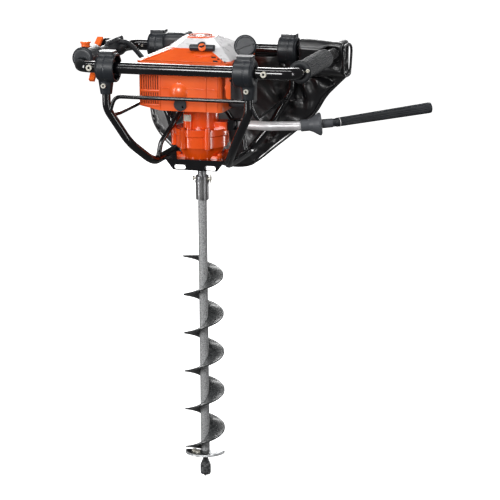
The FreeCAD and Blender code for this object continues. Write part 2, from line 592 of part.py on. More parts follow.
def gearbox(screws):
    lower = turned("case_lower_shell", [
        (10.3, "case_bottom"), ("case_low_dia / 2 - 3", "case_bottom"),
        ("case_low_dia / 2", "case_bottom + 3"), ("case_low_dia / 2 + 11", "case_step - 6"),
        ("case_low_dia / 2 + 14", "case_step"), ("case_dia / 2 - 2", "case_step"),
        ("case_dia / 2", "case_step + 3"), ("case_dia / 2", 788), ("lid_dia / 2", 791),
        ("lid_dia / 2", "case_split"), (50, "case_split"), (50, 764.5), (17.05, 764.5),
        (17.05, 751.8), (14, 751.8), (14, 746.2), (17.05, 746.2), (17.05, 735.8),
        (10.3, 735.8)])
    foot = box("case_foot", (-52, -28, "hoop_low + 1.5"), (52, 38, "hoop_low + 7.5"))
    foot_soft = rounded("case_foot_soft", foot, 10, runs_along(UP))
    foot_hole = cylinder("case_foot_hole", "case_low_dia - 6", 12, (0, 0, "hoop_low"))
    foot_drills = [cylinder("foot_drill_%d_%d" % (x, y), 6.2, 20, (x, y, "hoop_low - 4"))
                   for x, y in FOOT_SCREWS]
    ribs = []
    for turn in range(-150, 210, 24):
        x = math.cos(math.radians(turn))
        y = math.sin(math.radians(turn))
        ribs.append(cylinder("case_rib_%d" % turn, 5, "case_step - case_bottom - 6",
                             ("%g * (case_low_dia / 2 + 2)" % x,
                              "%g * (case_low_dia / 2 + 2)" % y, "case_bottom + 4")))
    ears = []
    ear_drills = []
    lid_drills = []
    ear_turns = (-168, -115, -60, 45, 90, 135)
    for turn in ear_turns:
        x = 60 * math.cos(math.radians(turn))
        y = 60 * math.sin(math.radians(turn))
        ears.append(cylinder("case_ear_%d" % turn, 14, "case_split - case_step - 2",
                             (x, y, "case_step + 2")))
        ear_drills.append(cylinder("ear_drill_%d" % turn, 5.2, 22, (x, y, "case_split - 18")))
        lid_drills.append(cylinder("lid_drill_%d" % turn, 5.2, 22, (x, y, "case_split - 2")))
        shank = cylinder("case_shank_%d" % turn, 5, 23, (x, y, "case_split - 14"))
        head = cylinder("case_head_%d" % turn, 9.5, 5, (x, y, "case_split + 8"))
        socket = cylinder("case_socket_%d" % turn, 4.6, 3, (x, y, "case_split + 10.5"))
        screws.append(cut("case_screw_%d" % turn, fuse("case_screw_blank_%d" % turn, shank, head),
                          socket))
    for x, y in FOOT_SCREWS:
        shank = cylinder("foot_shank_%d_%d" % (x, y), 6, 16, (x, y, "hoop_low - 5"))
        head = cylinder("foot_head_%d_%d" % (x, y), 10, 5, (x, y, "hoop_low + 7.5"))
        nut = cylinder("foot_nut_%d_%d" % (x, y), 11, 4.8, (x, y, "hoop_low - 6.3"))
        screws.append(fuse("foot_screw_%d_%d" % (x, y), shank, head, nut))
    lay_seat = cylinder("lay_seat", 14.1, 8, (0, "gear_offset", 756.5))
    whole = fuse("case_lower_blank", lower, cut("case_foot_ring", foot_soft, foot_hole),
                 *(ribs + ears))
    bearing_room = cylinder("case_bearing_room", 34.1, 14, (0, 0, 751.8))
    seal_room = cylinder("case_seal_room", 34.1, 10.4, (0, 0, 735.8))
    inside = cylinder("case_inside", 100, 60, (0, 0, 764.5))
    node(cut("case_lower", whole, lay_seat, bearing_room, seal_room, inside,
             *(foot_drills + ear_drills)), "gear_case_lower")

    lid = cylinder("case_lid", "lid_dia", 8, (0, 0, "case_split"))
    lid_ears = [cylinder("lid_ear_%d" % turn, 14, 8, (60 * math.cos(math.radians(turn)),
                                                      60 * math.sin(math.radians(turn)),
                                                      "case_split"))
                for turn in ear_turns]
    neck = cylinder("case_neck", "neck_dia", "engine_seat - case_split", (0, 0, "case_split"))
    seat = box("engine_seat_plate", (-56, -48, "engine_seat - 8"), (56, 48, "engine_seat"))
    seat_soft = rounded("engine_seat_soft", seat, 14, runs_along(UP))
    boss = cylinder("front_boss", 22, 34, (-19, -34, 805))
    arm = box("brake_arm", (30, -16, 799), (62, 20, 819))
    arm_soft = rounded("brake_arm_soft", arm, 3, runs_along(UP))
    neck_room = cylinder("case_neck_room", "neck_dia - 12", 60, (0, 0, 805))
    input_seat = cylinder("input_seat", 26.1, 8, (0, 0, "case_split - 2"))
    input_hole = cylinder("input_hole", 12, 30, (0, 0, "case_split - 2"))
    lay_top = cylinder("lay_top", 14.1, 8, (0, "gear_offset", "case_split - 1.5"))
    node(cut("case_upper", fuse("case_upper_blank", lid, neck, seat_soft, boss, arm_soft,
                                *lid_ears),
             neck_room, input_seat, input_hole, lay_top, *lid_drills), "gear_case_upper")

    node(group("bearing_set",
               ring("spindle_bearing_low", 20.1, 34, 736, 746),
               ring("spindle_bearing_high", 20.1, 34, 752, 762),
               ring("lay_bearing_low", 8.1, 14, 757, 764, "gear_offset"),
               ring("lay_bearing_high", 8.1, 14, 796, 803, "gear_offset"),
               ring("input_bearing", 10.1, 26, 796, 802.5),
               ring("crank_bearing_low", 12.1, 28, 864, 873),
               ring("crank_bearing_high", 12.1, 28, 926, 934),
               ring("spindle_seal", 20.1, 27.9, 747, 751)), "bearings_and_seal")

    washer = box("square_washer", (-25, -47, 823), (-9, -45.1, 837))
    washer_screw = cylinder("washer_screw", 8, 3, (-17, -47, 830), V(0, -1, 0))
    screws.append(fuse("washer_and_screw", washer, washer_screw))


# --------------------------------------------------------------------------- engine
def engine():
    block = cylinder("block_round", 72, "936 - engine_seat", (0, 0, "engine_seat"))
    block_foot = box("block_foot", (-40, -34, "engine_seat"), (40, 44, "engine_seat + 8"))
    crank_room = cylinder("crank_room", 58, 42, (0, 0, 879))
    low_seat = cylinder("low_seat", 28.1, 9.5, (0, 0, 863.8))
    high_seat = cylinder("high_seat", 28.1, 9, (0, 0, 925.8))
    through = cylinder("block_through", 22, 120, (0, 0, 840))
    front_room = cylinder("front_room", "bore_dia", 40, (0, 0, "cylinder_height"), V(0, -1, 0))
    front_face = box("front_face", (-60, -60, 850), (60, -34, 940))
    node(cut("block", fuse("block_blank", block, block_foot), crank_room, low_seat, high_seat,
             through, front_room, front_face), "crankcase")

    barrel = cylinder("barrel", "bore_dia + 12", 62, (0, -34, "cylinder_height"), V(0, -1, 0))
    fins = [box("fin_%d" % i, (-36, -45 - 8 * i, "cylinder_height - 33"),
                (36, -42.4 - 8 * i, "cylinder_height + 33")) for i in range(7)]
    hollow = cylinder("hollow", "bore_dia", 56, (0, -33, "cylinder_height"), V(0, -1, 0))
    plug_hole = cylinder("plug_hole", 10.2, 30, (0, -80, "cylinder_height"), V(0, -1, 0))
    node(cut("cylinder_cast", fuse("cylinder_blank", barrel, *fins), hollow, plug_hole),
         "cylinder")

    crown = cylinder("piston_crown", "bore_dia - 0.2", 26, (0, -50, "cylinder_height"),
                     V(0, -1, 0))
    skirt = cylinder("piston_skirt", "bore_dia - 7", 21, (0, -49, "cylinder_height"), V(0, -1, 0))
    node(cut("piston_cast", crown, skirt), "piston")

    thread = cylinder("plug_thread", 10, 12, (0, -84.5, "cylinder_height"), V(0, -1, 0))
    hexagon = cylinder("plug_hex", 15, 6, (0, -96.5, "cylinder_height"), V(0, -1, 0))
    cap = cylinder("plug_cap", 12, 12, (0, -102.5, "cylinder_height"), V(0, -1, 0))
    node(fuse("plug_whole", thread, hexagon, cap), "spark_plug")

    lower_shaft = cylinder("crank_lower", "crank_dia", 78, (0, 0, 813))
    upper_shaft = cylinder("crank_upper", "crank_dia", 52, (0, 0, 911))
    webs = [cylinder("web_%d" % i, 54, 7, (0, 0, z)) for i, z in enumerate((884, 909))]
    throw_pin = cylinder("throw_pin", 10, 20, (0, "-crank_throw", 890))
    node(fuse("crank", lower_shaft, upper_shaft, throw_pin, *webs), "crankshaft")

    wheel = turned("flywheel_disc", [
        (6.05, 938), (15, 938), (15, 942), ("flywheel_dia / 2 - 8", 942),
        ("flywheel_dia / 2 - 8", 938), ("flywheel_dia / 2", 938), ("flywheel_dia / 2", 946),
        (15, 946), (15, 950), (6.05, 950)])
    blades = []
    for i in range(14):
        turn = math.radians(360 * i / 14)
        blades.append(slanted_box("blade_fan_%d" % i, (24, 2.4, 7),
                                  (33 * math.cos(turn), 33 * math.sin(turn), 949), UP,
                                  math.degrees(turn) + 18))
    node(fuse("flywheel_whole", wheel, *blades), "flywheel")

    hub = ring("clutch_hub_ring", "crank_dia + 0.1", 26, 814, 827)
    shoes = []
    for side in (0, 180):
        shoe = cylinder("shoe_%d" % side, 52.6, 12, (0, 0, 815), UP, 150, side + 15)
        shoe_room = cylinder("shoe_room_%d" % side, 30, 20, (0, 0, 811))
        shoes.append(cut("shoe_cut_%d" % side, shoe, shoe_room))
    arms = [box("shoe_arm_%d" % side, (-4, min(side * 12, side * 18), 816),
                (4, max(side * 12, side * 18), 826)) for side in (-1, 1)]
    node(fuse("clutch_hub_whole", hub, *(shoes + arms)), "clutch_hub")

    muffler = box("muffler_box", (-96, -106, 872), (-42, -40, 934))
    outlet = cylinder("muffler_outlet", 16, 6.5, (-42.5, -70, "cylinder_height"), ALONG_X)
    node(fuse("muffler_whole", rounded("muffler_soft", muffler, 8, runs_along(ALONG_X)), outlet),
         "muffler")

    carb = box("carb_body", (-76, 46, 884), (-44, 76, 916))
    throat = cylinder("carb_throat", 18, 26, (-60, 61, 912))
    intake = cylinder("carb_intake", 16, 40, (-52, 53, "cylinder_height"), V(52, -53, 0))
    intake_trim = cylinder("carb_intake_trim", 72, 40, (0, 0, 880))
    node(cut("carb_whole", fuse("carb_blank", carb, throat, intake), intake_trim), "carburettor")


# --------------------------------------------------------------------------- covers and tank
def roof_outline(x_low, x_high, y_low, y_high, front_cut, back_cut, z):
    """Rectangle at height z with its front corners and its back corners cut."""
    points = [V(x_low + front_cut, y_low, z), V(x_high - front_cut, y_low, z),
              V(x_high, y_low + front_cut, z), V(x_high, y_high - back_cut, z),
              V(x_high - back_cut, y_high, z), V(x_low + back_cut, y_high, z),
              V(x_low, y_high - back_cut, z), V(x_low, y_low + front_cut, z)]
    return Part.makePolygon(points + points[:1])


def covers():
    wall = number("shell")
    outer = box("shroud_outer", ("shroud_left", "shroud_front", "shroud_low"),
                ("shroud_right", "shroud_back", "shroud_top"))
    outer_soft = rounded("shroud_soft", outer, 9, runs_along(UP))
    inner = box("shroud_inner",
                ("shroud_left + shell", "shroud_front + shell", "shroud_low + shell"),
                ("shroud_right - shell", "shroud_back - shell", "shroud_top + 5"))
    inner_soft = rounded("shroud_inner_soft", inner, 6.5, runs_along(UP))
    floor_hole = cylinder("shroud_floor_hole", 112, 12, (0, 0, "shroud_low - 5"))
    floor_slot = box("shroud_floor_slot", (-42, 0, "shroud_low - 5"), (42, 46, "shroud_low + 4"))
    posts = [cylinder("shroud_post_%d_%d" % (sx, sy), 12, "shroud_low + shell - engine_seat",
                      (sx * 50, sy * 36, "engine_seat")) for sx in (-1, 1) for sy in (-1, 1)]
    boss = ball("shroud_boss", 60, (-13, "shroud_front + 22", 898))
    boss_room = ball("shroud_boss_room", 55, (-13, "shroud_front + 22", 898))
    louvres = []
    for column in range(9):
        x = -97.5 + 5.2 * column
        for low, high in ((871, 896), (902, 944)):
            louvres.append(box("louvre_%d_%d" % (column, low), (x, "shroud_front - 3", low),
                               (x + 2.4, "shroud_front + 4", high)))
    plug_hole = cylinder("shroud_plug_hole", 24, 12, (-9, "shroud_front - 4", 872), ALONG_Y)
    plug_seat = cylinder("shroud_plug_seat", 28.4, 20, (-9, "shroud_front - 20", 872), ALONG_Y)
    corner = plate("shroud_corner", "XZ_Plane", [
        ("shroud_left - 4", "shroud_low - 4"), ("shroud_left + 52", "shroud_low - 0.5"),
        ("shroud_left - 4", "shroud_low + 11")], 300)
    corner_inside = plate("shroud_corner_inside", "XZ_Plane", [
        ("shroud_left - 4", "shroud_low - 4"), ("shroud_left + 67", "shroud_low - 0.5"),
        ("shroud_left - 4", "shroud_low + 14")], 290)
    room = cut("shroud_room", inner_soft, corner_inside)
    hollow = cut("shroud_hollow", fuse("shroud_blank", outer_soft, boss), room, boss_room,
                 plug_hole, plug_seat, corner, *louvres)
    node(cut("shroud_whole", fuse("shroud_posted", hollow, *posts), floor_hole, floor_slot),
         "shroud")

    plug = cylinder("plug_disc", 28, 3, (-9, "shroud_front - 3.2", 872), ALONG_Y)
    plug_stem = cylinder("plug_stem", 23.6, 6, (-9, "shroud_front - 1", 872), ALONG_Y)
    plug_eye = cylinder("plug_eye", 5, 20, (-3, "shroud_front - 8", 867), ALONG_Y)
    node(cut("shroud_plug", fuse("shroud_plug_blank", plug, plug_stem), plug_eye), "shroud_plug")

    low = number("shroud_top") + 0.1
    high = number("cover_top")
    left = number("shroud_left")
    right = number("shroud_right")
    levels = [(left - 4, right + 20, -119, 104, 10, 40, low),
              (left - 4, right + 20, -119, 104, 10, 40, low + 6),
              (-52, 66, -82, 66, 22, 22, 988), (-34, 34, -34, 34, 14, 14, high)]

    def roof(shrink, drop):
        rings = [roof_outline(x_low + shrink, x_high - shrink, y_low + shrink,
                              y_high - shrink, front_cut, back_cut, z - drop)
                 for x_low, x_high, y_low, y_high, front_cut, back_cut, z in levels]
        return Part.makeLoft(rings, True, True)

    shell = roof(0, 0).cut(roof(wall + 0.5, wall))
    eyelet = V(33, -86, 983.5)
    pull = V(0, -0.5, 0.866)
    rope_hole = Part.makeCylinder(3, 60, eyelet - pull * 30, pull)
    roof_shell = shaped("roof_shell", shell.cut(rope_hole))
    disc = cylinder("roof_disc", "disc_dia", 3.5, (0, 0, "cover_top - 2.3"))
    post = cylinder("roof_post", 8, 41, (0, 0, 963.5))
    node(fuse("roof", roof_shell, disc, post), "starter_cover")

    pulley = turned("pulley", [
        (4.05, 966), (12, 966), (12, 968), ("pulley_dia / 2", 968), ("pulley_dia / 2", 970),
        ("pulley_dia / 2 - 5", 971), ("pulley_dia / 2 - 5", 974), ("pulley_dia / 2", 975),
        ("pulley_dia / 2", 977), (4.05, 977)])
    node(pulley, "starter_pulley")

    grip_x, grip_y, grip_z = along(eyelet, pull, 10.2)
    handle = cylinder("grip_bar", 15, 56, (grip_x - 28, grip_y, grip_z), ALONG_X)
    handle_hub = cylinder("grip_hub", 17, 14, along(eyelet, pull, 6), pull)
    grip_room = cylinder("grip_room", 4.2, 13, along(eyelet, pull, 1), pull)
    node(cut("grip", fuse("grip_blank", rounded("grip_soft", handle, 3, every_edge), handle_hub),
             grip_room), "starter_grip")
    node(cylinder("rope", 4, 19, along(eyelet, pull, -6), pull), "starter_rope")

    tank = box("tank_body", ("shroud_right + 0.1", -76, 860), (129, 4, "shroud_top - 0.5"))
    tank_soft = rounded("tank_soft", tank, 9, every_edge)
    riser = box("tank_riser", ("shroud_right + 23", -70, 940), (128, -38, 986))
    riser_soft = rounded("tank_riser_soft", riser, 6, every_edge)
    spout_axis = V(0.15, -0.94, 0.30).normalize()
    spout_base = V(122, -60, 992)
    spout = cylinder("tank_spout", 40, 22, along(spout_base, spout_axis, -12), spout_axis)
    tank_room = box("tank_room", ("shroud_right + 3", -73, 863), (126, 1, "shroud_top - 3.5"))
    riser_room = box("tank_riser_room", ("shroud_right + 26", -67, 945), (125, -41, 983))
    mouth = cylinder("tank_mouth", 30, 34, along(spout_base, spout_axis, -14), spout_axis)
    node(cut("tank", fuse("tank_blank", tank_soft, riser_soft, spout), tank_room, riser_room,
             mouth), "fuel_tank")

    seat = spout_base + spout_axis * 10.3
    cap = turned("cap", [
        (0, 0), ("cap_dia / 2 - 1", 0), ("cap_dia / 2", 1), ("cap_dia / 2", 9),
        ("cap_dia / 2 - 3", 12), ("cap_dia / 2 - 5", 12), ("cap_dia / 2 - 6", 10.5),
        (0, 10.5)], tuple(seat), spout_axis)
    ridge = slanted_box("cap_ridge", (42, 5, 5), along(seat, spout_axis, 11.5), spout_axis, 30)
    node(fuse("cap_whole", cap, ridge), "fuel_cap")

    dome = box("filter_box", (-112, 56, 918), (-52, 128, 1000))
    dome_soft = rounded("filter_soft", dome, 16, every_edge)
    dome_room = box("filter_room", (-107, 61, 905), (-57, 123, 990))
    dome_low = box("filter_low", (-120, 50, 900), (-40, 140, 940))
    dome_front = box("filter_front", (-120, 50, 930), (-40, 104.2, "shroud_top + 4"))
    roof_trim = shaped("filter_roof_trim", roof(-0.1, -0.1))
    node(cut("filter_cover", dome_soft, dome_room, dome_low, dome_front, roof_trim),
         "air_filter_cover")


# --------------------------------------------------------------------------- controls
def controls():
    x = "left_side"
    z = "handle_height"
    knob = cylinder("control_knob", "control_dia", 72, (x, -136, "handle_height + 11"), ALONG_Y)
    knob_soft = rounded("control_knob_soft", knob, 8, every_edge)
    sleeve = cylinder("control_sleeve", 42, 160, (x, -66, "handle_height + 6"), ALONG_Y)
    hump = box("control_hump", ("left_side - 15", -12, "handle_height + 6"),
               ("left_side + 15", 90, "handle_height + 33"))
    hump_soft = rounded("control_hump_soft", hump, 7, runs_along(ALONG_Y))
    lugs = [box("trigger_lug_%d" % side, ("left_side + %g" % min(side * 6.5, side * 10.5), -63,
                                          "handle_height - 26"),
                ("left_side + %g" % max(side * 6.5, side * 10.5), -47, "handle_height - 8"))
            for side in (-1, 1)]
    lever_seat = (-51, "handle_height + 20")
    trigger_seat = (-55, "handle_height - 20.2")
    pin_holes = [cylinder("lever_pin_hole", 4.04, 22.2, ("left_side - 11.1",) + lever_seat, ALONG_X),
                 cylinder("trigger_pin_hole", 4.04, 24, ("left_side - 12",) + trigger_seat,
                          ALONG_X)]
    tube_room = cylinder("control_tube_room", "tube_dia + 0.1", 320, (x, -160, z), ALONG_Y)
    button_room = cylinder("button_room", 19, 40, (x, -112, "handle_height + 21"))
    lever_room = box("lever_room", ("left_side - 7", -62, "handle_height + 14"),
                     ("left_side + 7", 30, "handle_height + 70"))
    trigger_room = box("trigger_room", ("left_side - 6.5", -104, "handle_height - 40"),
                       ("left_side + 6.5", -24, "handle_height - 12.8"))
    conduit_boss = cylinder("conduit_boss", 14, 8, (-214.5, 60, 976), ALONG_X)
    whole = fuse("control_blank", knob_soft, sleeve, hump_soft, conduit_boss, *lugs)
    hollow = cut("control_hollow", whole, tube_room, button_room, lever_room, trigger_room,
                 *pin_holes)
    top_half = box("control_top_half", ("left_side - 60", -200, "handle_height + 0.05"),
                   ("left_side + 60", 200, "handle_height + 90"))
    low_half = box("control_low_half", ("left_side - 60", -200, "handle_height - 90"),
                   ("left_side + 60", 200, "handle_height - 0.05"))
    node(common("control_upper", hollow, top_half), "control_housing_upper")
    node(common("control_lower", hollow, low_half), "control_housing_lower")

    button = cylinder("button_stem", 18.6, 19, (x, -112, "handle_height + 25.5"))
    button_dome = cylinder("button_dome", 23, 6, (x, -112, "handle_height + 40.5"))
    node(fuse("button", button, rounded("button_soft", button_dome, 2.5, every_edge)),
         "stop_button")

    lever = slanted_box("lever_paddle", (13, 6, 44), (x, -38, "handle_height + 29.5"),
                        V(0, 0.86, 0.51))
    lever_eye = cylinder("lever_eye", 11, 13, ("left_side - 6.5",) + lever_seat, ALONG_X)
    lever_bore = cylinder("lever_bore", 4.1, 30, ("left_side - 15",) + lever_seat, ALONG_X)
    node(cut("lever", fuse("lever_blank", lever, lever_eye), lever_bore), "lock_lever")

    blade = slanted_box("trigger_blade", (12, 9, 36), ("left_side", -68, "handle_height - 31"),
                        V(0, 0.62, 0.78))
    trigger_eye = cylinder("trigger_eye", 11, 12, ("left_side - 6",) + trigger_seat, ALONG_X)
    trigger_bore = cylinder("trigger_bore", 4.1, 30, ("left_side - 15",) + trigger_seat, ALONG_X)
    trigger_trim = box("trigger_trim", ("left_side - 20", -120, "handle_height - 14.2"),
                       ("left_side + 20", -20, "handle_height + 20"))
    node(cut("trigger", fuse("trigger_blank", blade, trigger_eye), trigger_bore, trigger_trim),
         "throttle_trigger")

    pins = [cylinder("lever_pin", 4, 22, ("left_side - 11",) + lever_seat, ALONG_X),
            cylinder("trigger_pin", 4, 21, ("left_side - 10.5",) + trigger_seat, ALONG_X)]

    grip_low = turned("grip_sleeve", [
        ("tube_dia / 2 + 0.05", 0), ("grip_flange_dia / 2 - 2", 0), ("grip_flange_dia / 2", 2),
        ("grip_flange_dia / 2", 5), ("grip_dia / 2 + 1", 9), ("grip_dia / 2", 20),
        ("grip_dia / 2 + 1.5", 100), ("grip_dia / 2 + 1.5", 198), ("grip_dia / 2 - 1", 202),
        ("tube_dia / 2 + 0.05", 202)], ("right_side", -136, "handle_height"), ALONG_Y)
    node(grip_low, "right_grip")
    return pins


def conduit():
    """Throttle conduit from the control handle down to the engine, held at both ends."""
    points = [V(-206, 60, 976), V(-190, 59, 975.5), V(-167, 44, 963), V(-144, 24, 948),
              V(-124, 7, 939), V(-105, 6, 936.5)]
    radii = []
    for before, corner, after in zip(points, points[1:], points[2:]):
        turn = (corner - before).getAngle(after - corner)
        shorter = min((corner - before).Length, (after - corner).Length)
        radii.append(0.45 * shorter / math.tan(turn / 2))
    dia = number("conduit_dia")
    tube = pipe(points, radii, dia)
    length = bent_path(points, radii).Length
    print("conduit radii", ["%.0f" % r for r in radii], "length %.1f" % length,
          "volume ratio %.4f" % (tube.Volume / (math.pi * dia * dia / 4 * length)))
    node(shaped("conduit", tube), "throttle_conduit")


# --------------------------------------------------------------------------- brake bar
def brake(pins):
    hinge = V(90, 12, 811)
    # the cheeks end inside the circle that the bar's thick end sweeps
    cheek_low = box("cheek_low", (74, 3.5, 799.5), (97.5, 20.5, 803.5))
    cheek_high = box("cheek_high", (74, 3.5, 818.5), (97.5, 20.5, 822.5))
    web = box("bracket_web", (62.1, -8, 799.5), (76, 22, 822.5))
    pin_bore = cylinder("bracket_bore", "hinge_pin_dia + 0.04", 40, (hinge.x, hinge.y, 790))
    node(cut("bracket", fuse("bracket_blank", cheek_low, cheek_high, web), pin_bore),
         "brake_bracket")

    tube_dia = number("brake_tube_dia")
    rod_dia = number("brake_rod_dia")
    elbow = V(222, -2, 815.4)
    knee = V(297, 22.5, 822)
    tip = V(478, 160, 840)
    run = (knee - elbow).normalize()
    outward = (tip - knee).normalize()
    tube_points = [V(103, 8, 811), V(152, -7, 812.5), elbow, elbow + run * 26]
    tube = pipe(tube_points, [70, 26], tube_dia)
    rod_points = [elbow + run * 20, knee, tip - outward * 4]
    rod = pipe(rod_points, [12], rod_dia)
    eye = cylinder("bar_eye", 20, 14.4, (hinge.x, hinge.y, 803.8))
    shank = box("bar_shank", (hinge.x, hinge.y - 9, 804.5), (hinge.x + 19, hinge.y + 7, 817.5))
    bar_bore = cylinder("bar_bore", "hinge_pin_dia + 2 * hinge_gap", 40, (hinge.x, hinge.y, 790))
    node(cut("bar", fuse("bar_blank", eye, shank, shaped("bar_tube", tube),
                         shaped("bar_rod", rod)), bar_bore), "brake_bar")

    base = elbow + run * 4
    stop = turned("stop_bell", [
        ("brake_tube_dia / 2 + 0.05", 0), (12, 0), (12.8, 1.5), (12.8, 18),
        (16, 26), (25, 40), (25, 44), (21, 46), (10, 46), (9.8, 70),
        ("brake_rod_dia / 2 + 0.05", 70), ("brake_rod_dia / 2 + 0.05", 22.5),
        ("brake_tube_dia / 2 + 0.05", 22.5)], tuple(base), run)
    node(stop, "brake_stop")

    start = knee + outward * 3
    length = (tip - start).Length
    sleeve = turned("sleeve", [
        ("brake_rod_dia / 2 + 0.05", 0), (9.6, 0), (10, 1), ("12.3", length - 3),
        (11, length), (0, length), (0, length - 3.5), ("brake_rod_dia / 2 + 0.05", length - 3.5)],
        tuple(start), outward)
    node(sleeve, "brake_sleeve")
    pins.append(cylinder("brake_pin", "hinge_pin_dia", 24, (hinge.x, hinge.y, 799)))


# --------------------------------------------------------------------------- hip pad
def hip_pad():
    """Plain closed solid of the padded apron with its sleeve round the right rear corner."""
    thick = 28
    rows = [(686, 5, 62, 150), (706, -95, 84, 156), (722, -128, 104, 163),
            (765, -176, 158, 177), (804, -186, 203, 188), (846, -186, 226, 190),
            (900, -186, 284, 190), (919, -186, 284, 190)]
    rings = []
    for z, left, right, front in rows:
        corners = [V(left, front, z), V(right, front, z), V(right, front + thick, z),
                   V(left, front + thick, z)]
        rings.append(Part.makePolygon(corners + corners[:1]))
    apron = shaped("pad_apron", Part.makeLoft(rings, True, True))
    sleeve = box("pad_sleeve", (181, 141, 900), (284, 218, 987))
    sleeve_soft = rounded("pad_sleeve_soft", sleeve, 16, runs_along(ALONG_X))
    sleeve_room = box("pad_sleeve_room", (170, 149, 909), (300, 209, 979))
    room_soft = rounded("pad_sleeve_room_soft", sleeve_room, 12, runs_along(ALONG_X))
    tube_gate = box("pad_tube_gate", (243, 130, 938), (278, 152, 972))
    loop = cylinder("pad_loop", 42, 40, (-112, "handle_half_depth", "handle_height"), ALONG_X)
    loop_room = cylinder("pad_loop_room", 27, 60, (-122, "handle_half_depth", "handle_height"),
                         ALONG_X)
    loop_web = box("pad_loop_web", (-112, 186, 915), (-72, 196, 958))
    upper = box("pad_upper", (-62, 190, 915), (128, 218, 950))
    whole = fuse("pad_blank", apron, sleeve_soft, loop, loop_web, upper)
    node(cut("pad", whole, room_soft, tube_gate, loop_room), "hip_pad")


# --------------------------------------------------------------------------- build and export
soil_bit()
screws = handle_frame()
mounts(screws)
hoops_and_rods()
gear_train()
gearbox(screws)
node(group("frame_screws", *screws), "frame_screws")
engine()
covers()
pins = controls()
conduit()
brake(pins)
node(group("pivot_pins", *pins), "pivot_pins")
hip_pad()
doc.recompute()

for obj in doc.Objects:
    if "Invalid" in obj.State or "Error" in obj.State:
        raise RuntimeError("%s (%s) failed: %s" % (obj.Name, obj.Label, obj.State))
for obj in NODES:
    if obj.Shape.isNull() or not obj.Shape.isValid() or not obj.Shape.Solids:
        raise RuntimeError("%s has no valid shape" % obj.Label)

os.makedirs("parts", exist_ok=True)
for obj in NODES:
    obj.Shape.exportStep("parts/%s.step" % obj.Label)
print(len(NODES), "nodes,", sum(len(obj.Shape.Solids) for obj in NODES), "solids")
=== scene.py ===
"""Looks of the earth auger: camera, light, materials, hip pad, grips and moulded details."""
import json
import math

import bmesh
import bpy
from mathutils import Matrix, Vector, noise
from mathutils.bvhtree import BVHTree


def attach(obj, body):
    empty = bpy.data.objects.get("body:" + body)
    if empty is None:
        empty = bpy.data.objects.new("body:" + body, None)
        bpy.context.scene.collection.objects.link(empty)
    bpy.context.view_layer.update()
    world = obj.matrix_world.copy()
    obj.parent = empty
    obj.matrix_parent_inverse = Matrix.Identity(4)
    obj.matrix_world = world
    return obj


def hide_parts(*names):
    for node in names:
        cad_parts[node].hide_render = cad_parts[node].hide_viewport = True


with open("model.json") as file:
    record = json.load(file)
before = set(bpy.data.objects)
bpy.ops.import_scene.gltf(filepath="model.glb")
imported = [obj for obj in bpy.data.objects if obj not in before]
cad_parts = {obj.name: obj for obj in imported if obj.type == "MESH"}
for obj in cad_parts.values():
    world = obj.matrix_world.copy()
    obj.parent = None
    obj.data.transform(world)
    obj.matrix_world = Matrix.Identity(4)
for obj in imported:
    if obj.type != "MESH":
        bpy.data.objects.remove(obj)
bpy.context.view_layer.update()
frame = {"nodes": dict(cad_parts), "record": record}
NODES = frame["nodes"]
UP = Vector((0, 0, 1))
TUBE_HEIGHT = 0.9545
REAR_LEG_X = 0.159
BUTTON_X, BUTTON_Y = -0.225, -0.112
FRONT_SLOPE = Vector((0, -0.5427, 0.8399))


# --------------------------------------------------------------------------- camera
def add_camera():
    yaw = math.radians(16.83)
    pitch = math.radians(13.03)
    roll = math.radians(-0.43)
    ahead = Vector((-math.sin(yaw) * math.cos(pitch), math.cos(yaw) * math.cos(pitch),
                    -math.sin(pitch)))
    side = Vector((math.cos(yaw), math.sin(yaw), 0))
    over = side.cross(ahead)
    right = side * math.cos(roll) + over * math.sin(roll)
    above = over * math.cos(roll) - side * math.sin(roll)
    place = Vector((1.6299, -5.0282, 1.7478))
    camera = bpy.data.objects.new("camera", bpy.data.cameras.new("camera"))
    bpy.context.scene.collection.objects.link(camera)
    camera.data.lens = 175.8
    camera.data.clip_end = 200
    camera.matrix_world = Matrix(((right.x, above.x, -ahead.x, place.x),
                                  (right.y, above.y, -ahead.y, place.y),
                                  (right.z, above.z, -ahead.z, place.z), (0, 0, 0, 1)))
    bpy.context.scene.camera = camera


add_camera()


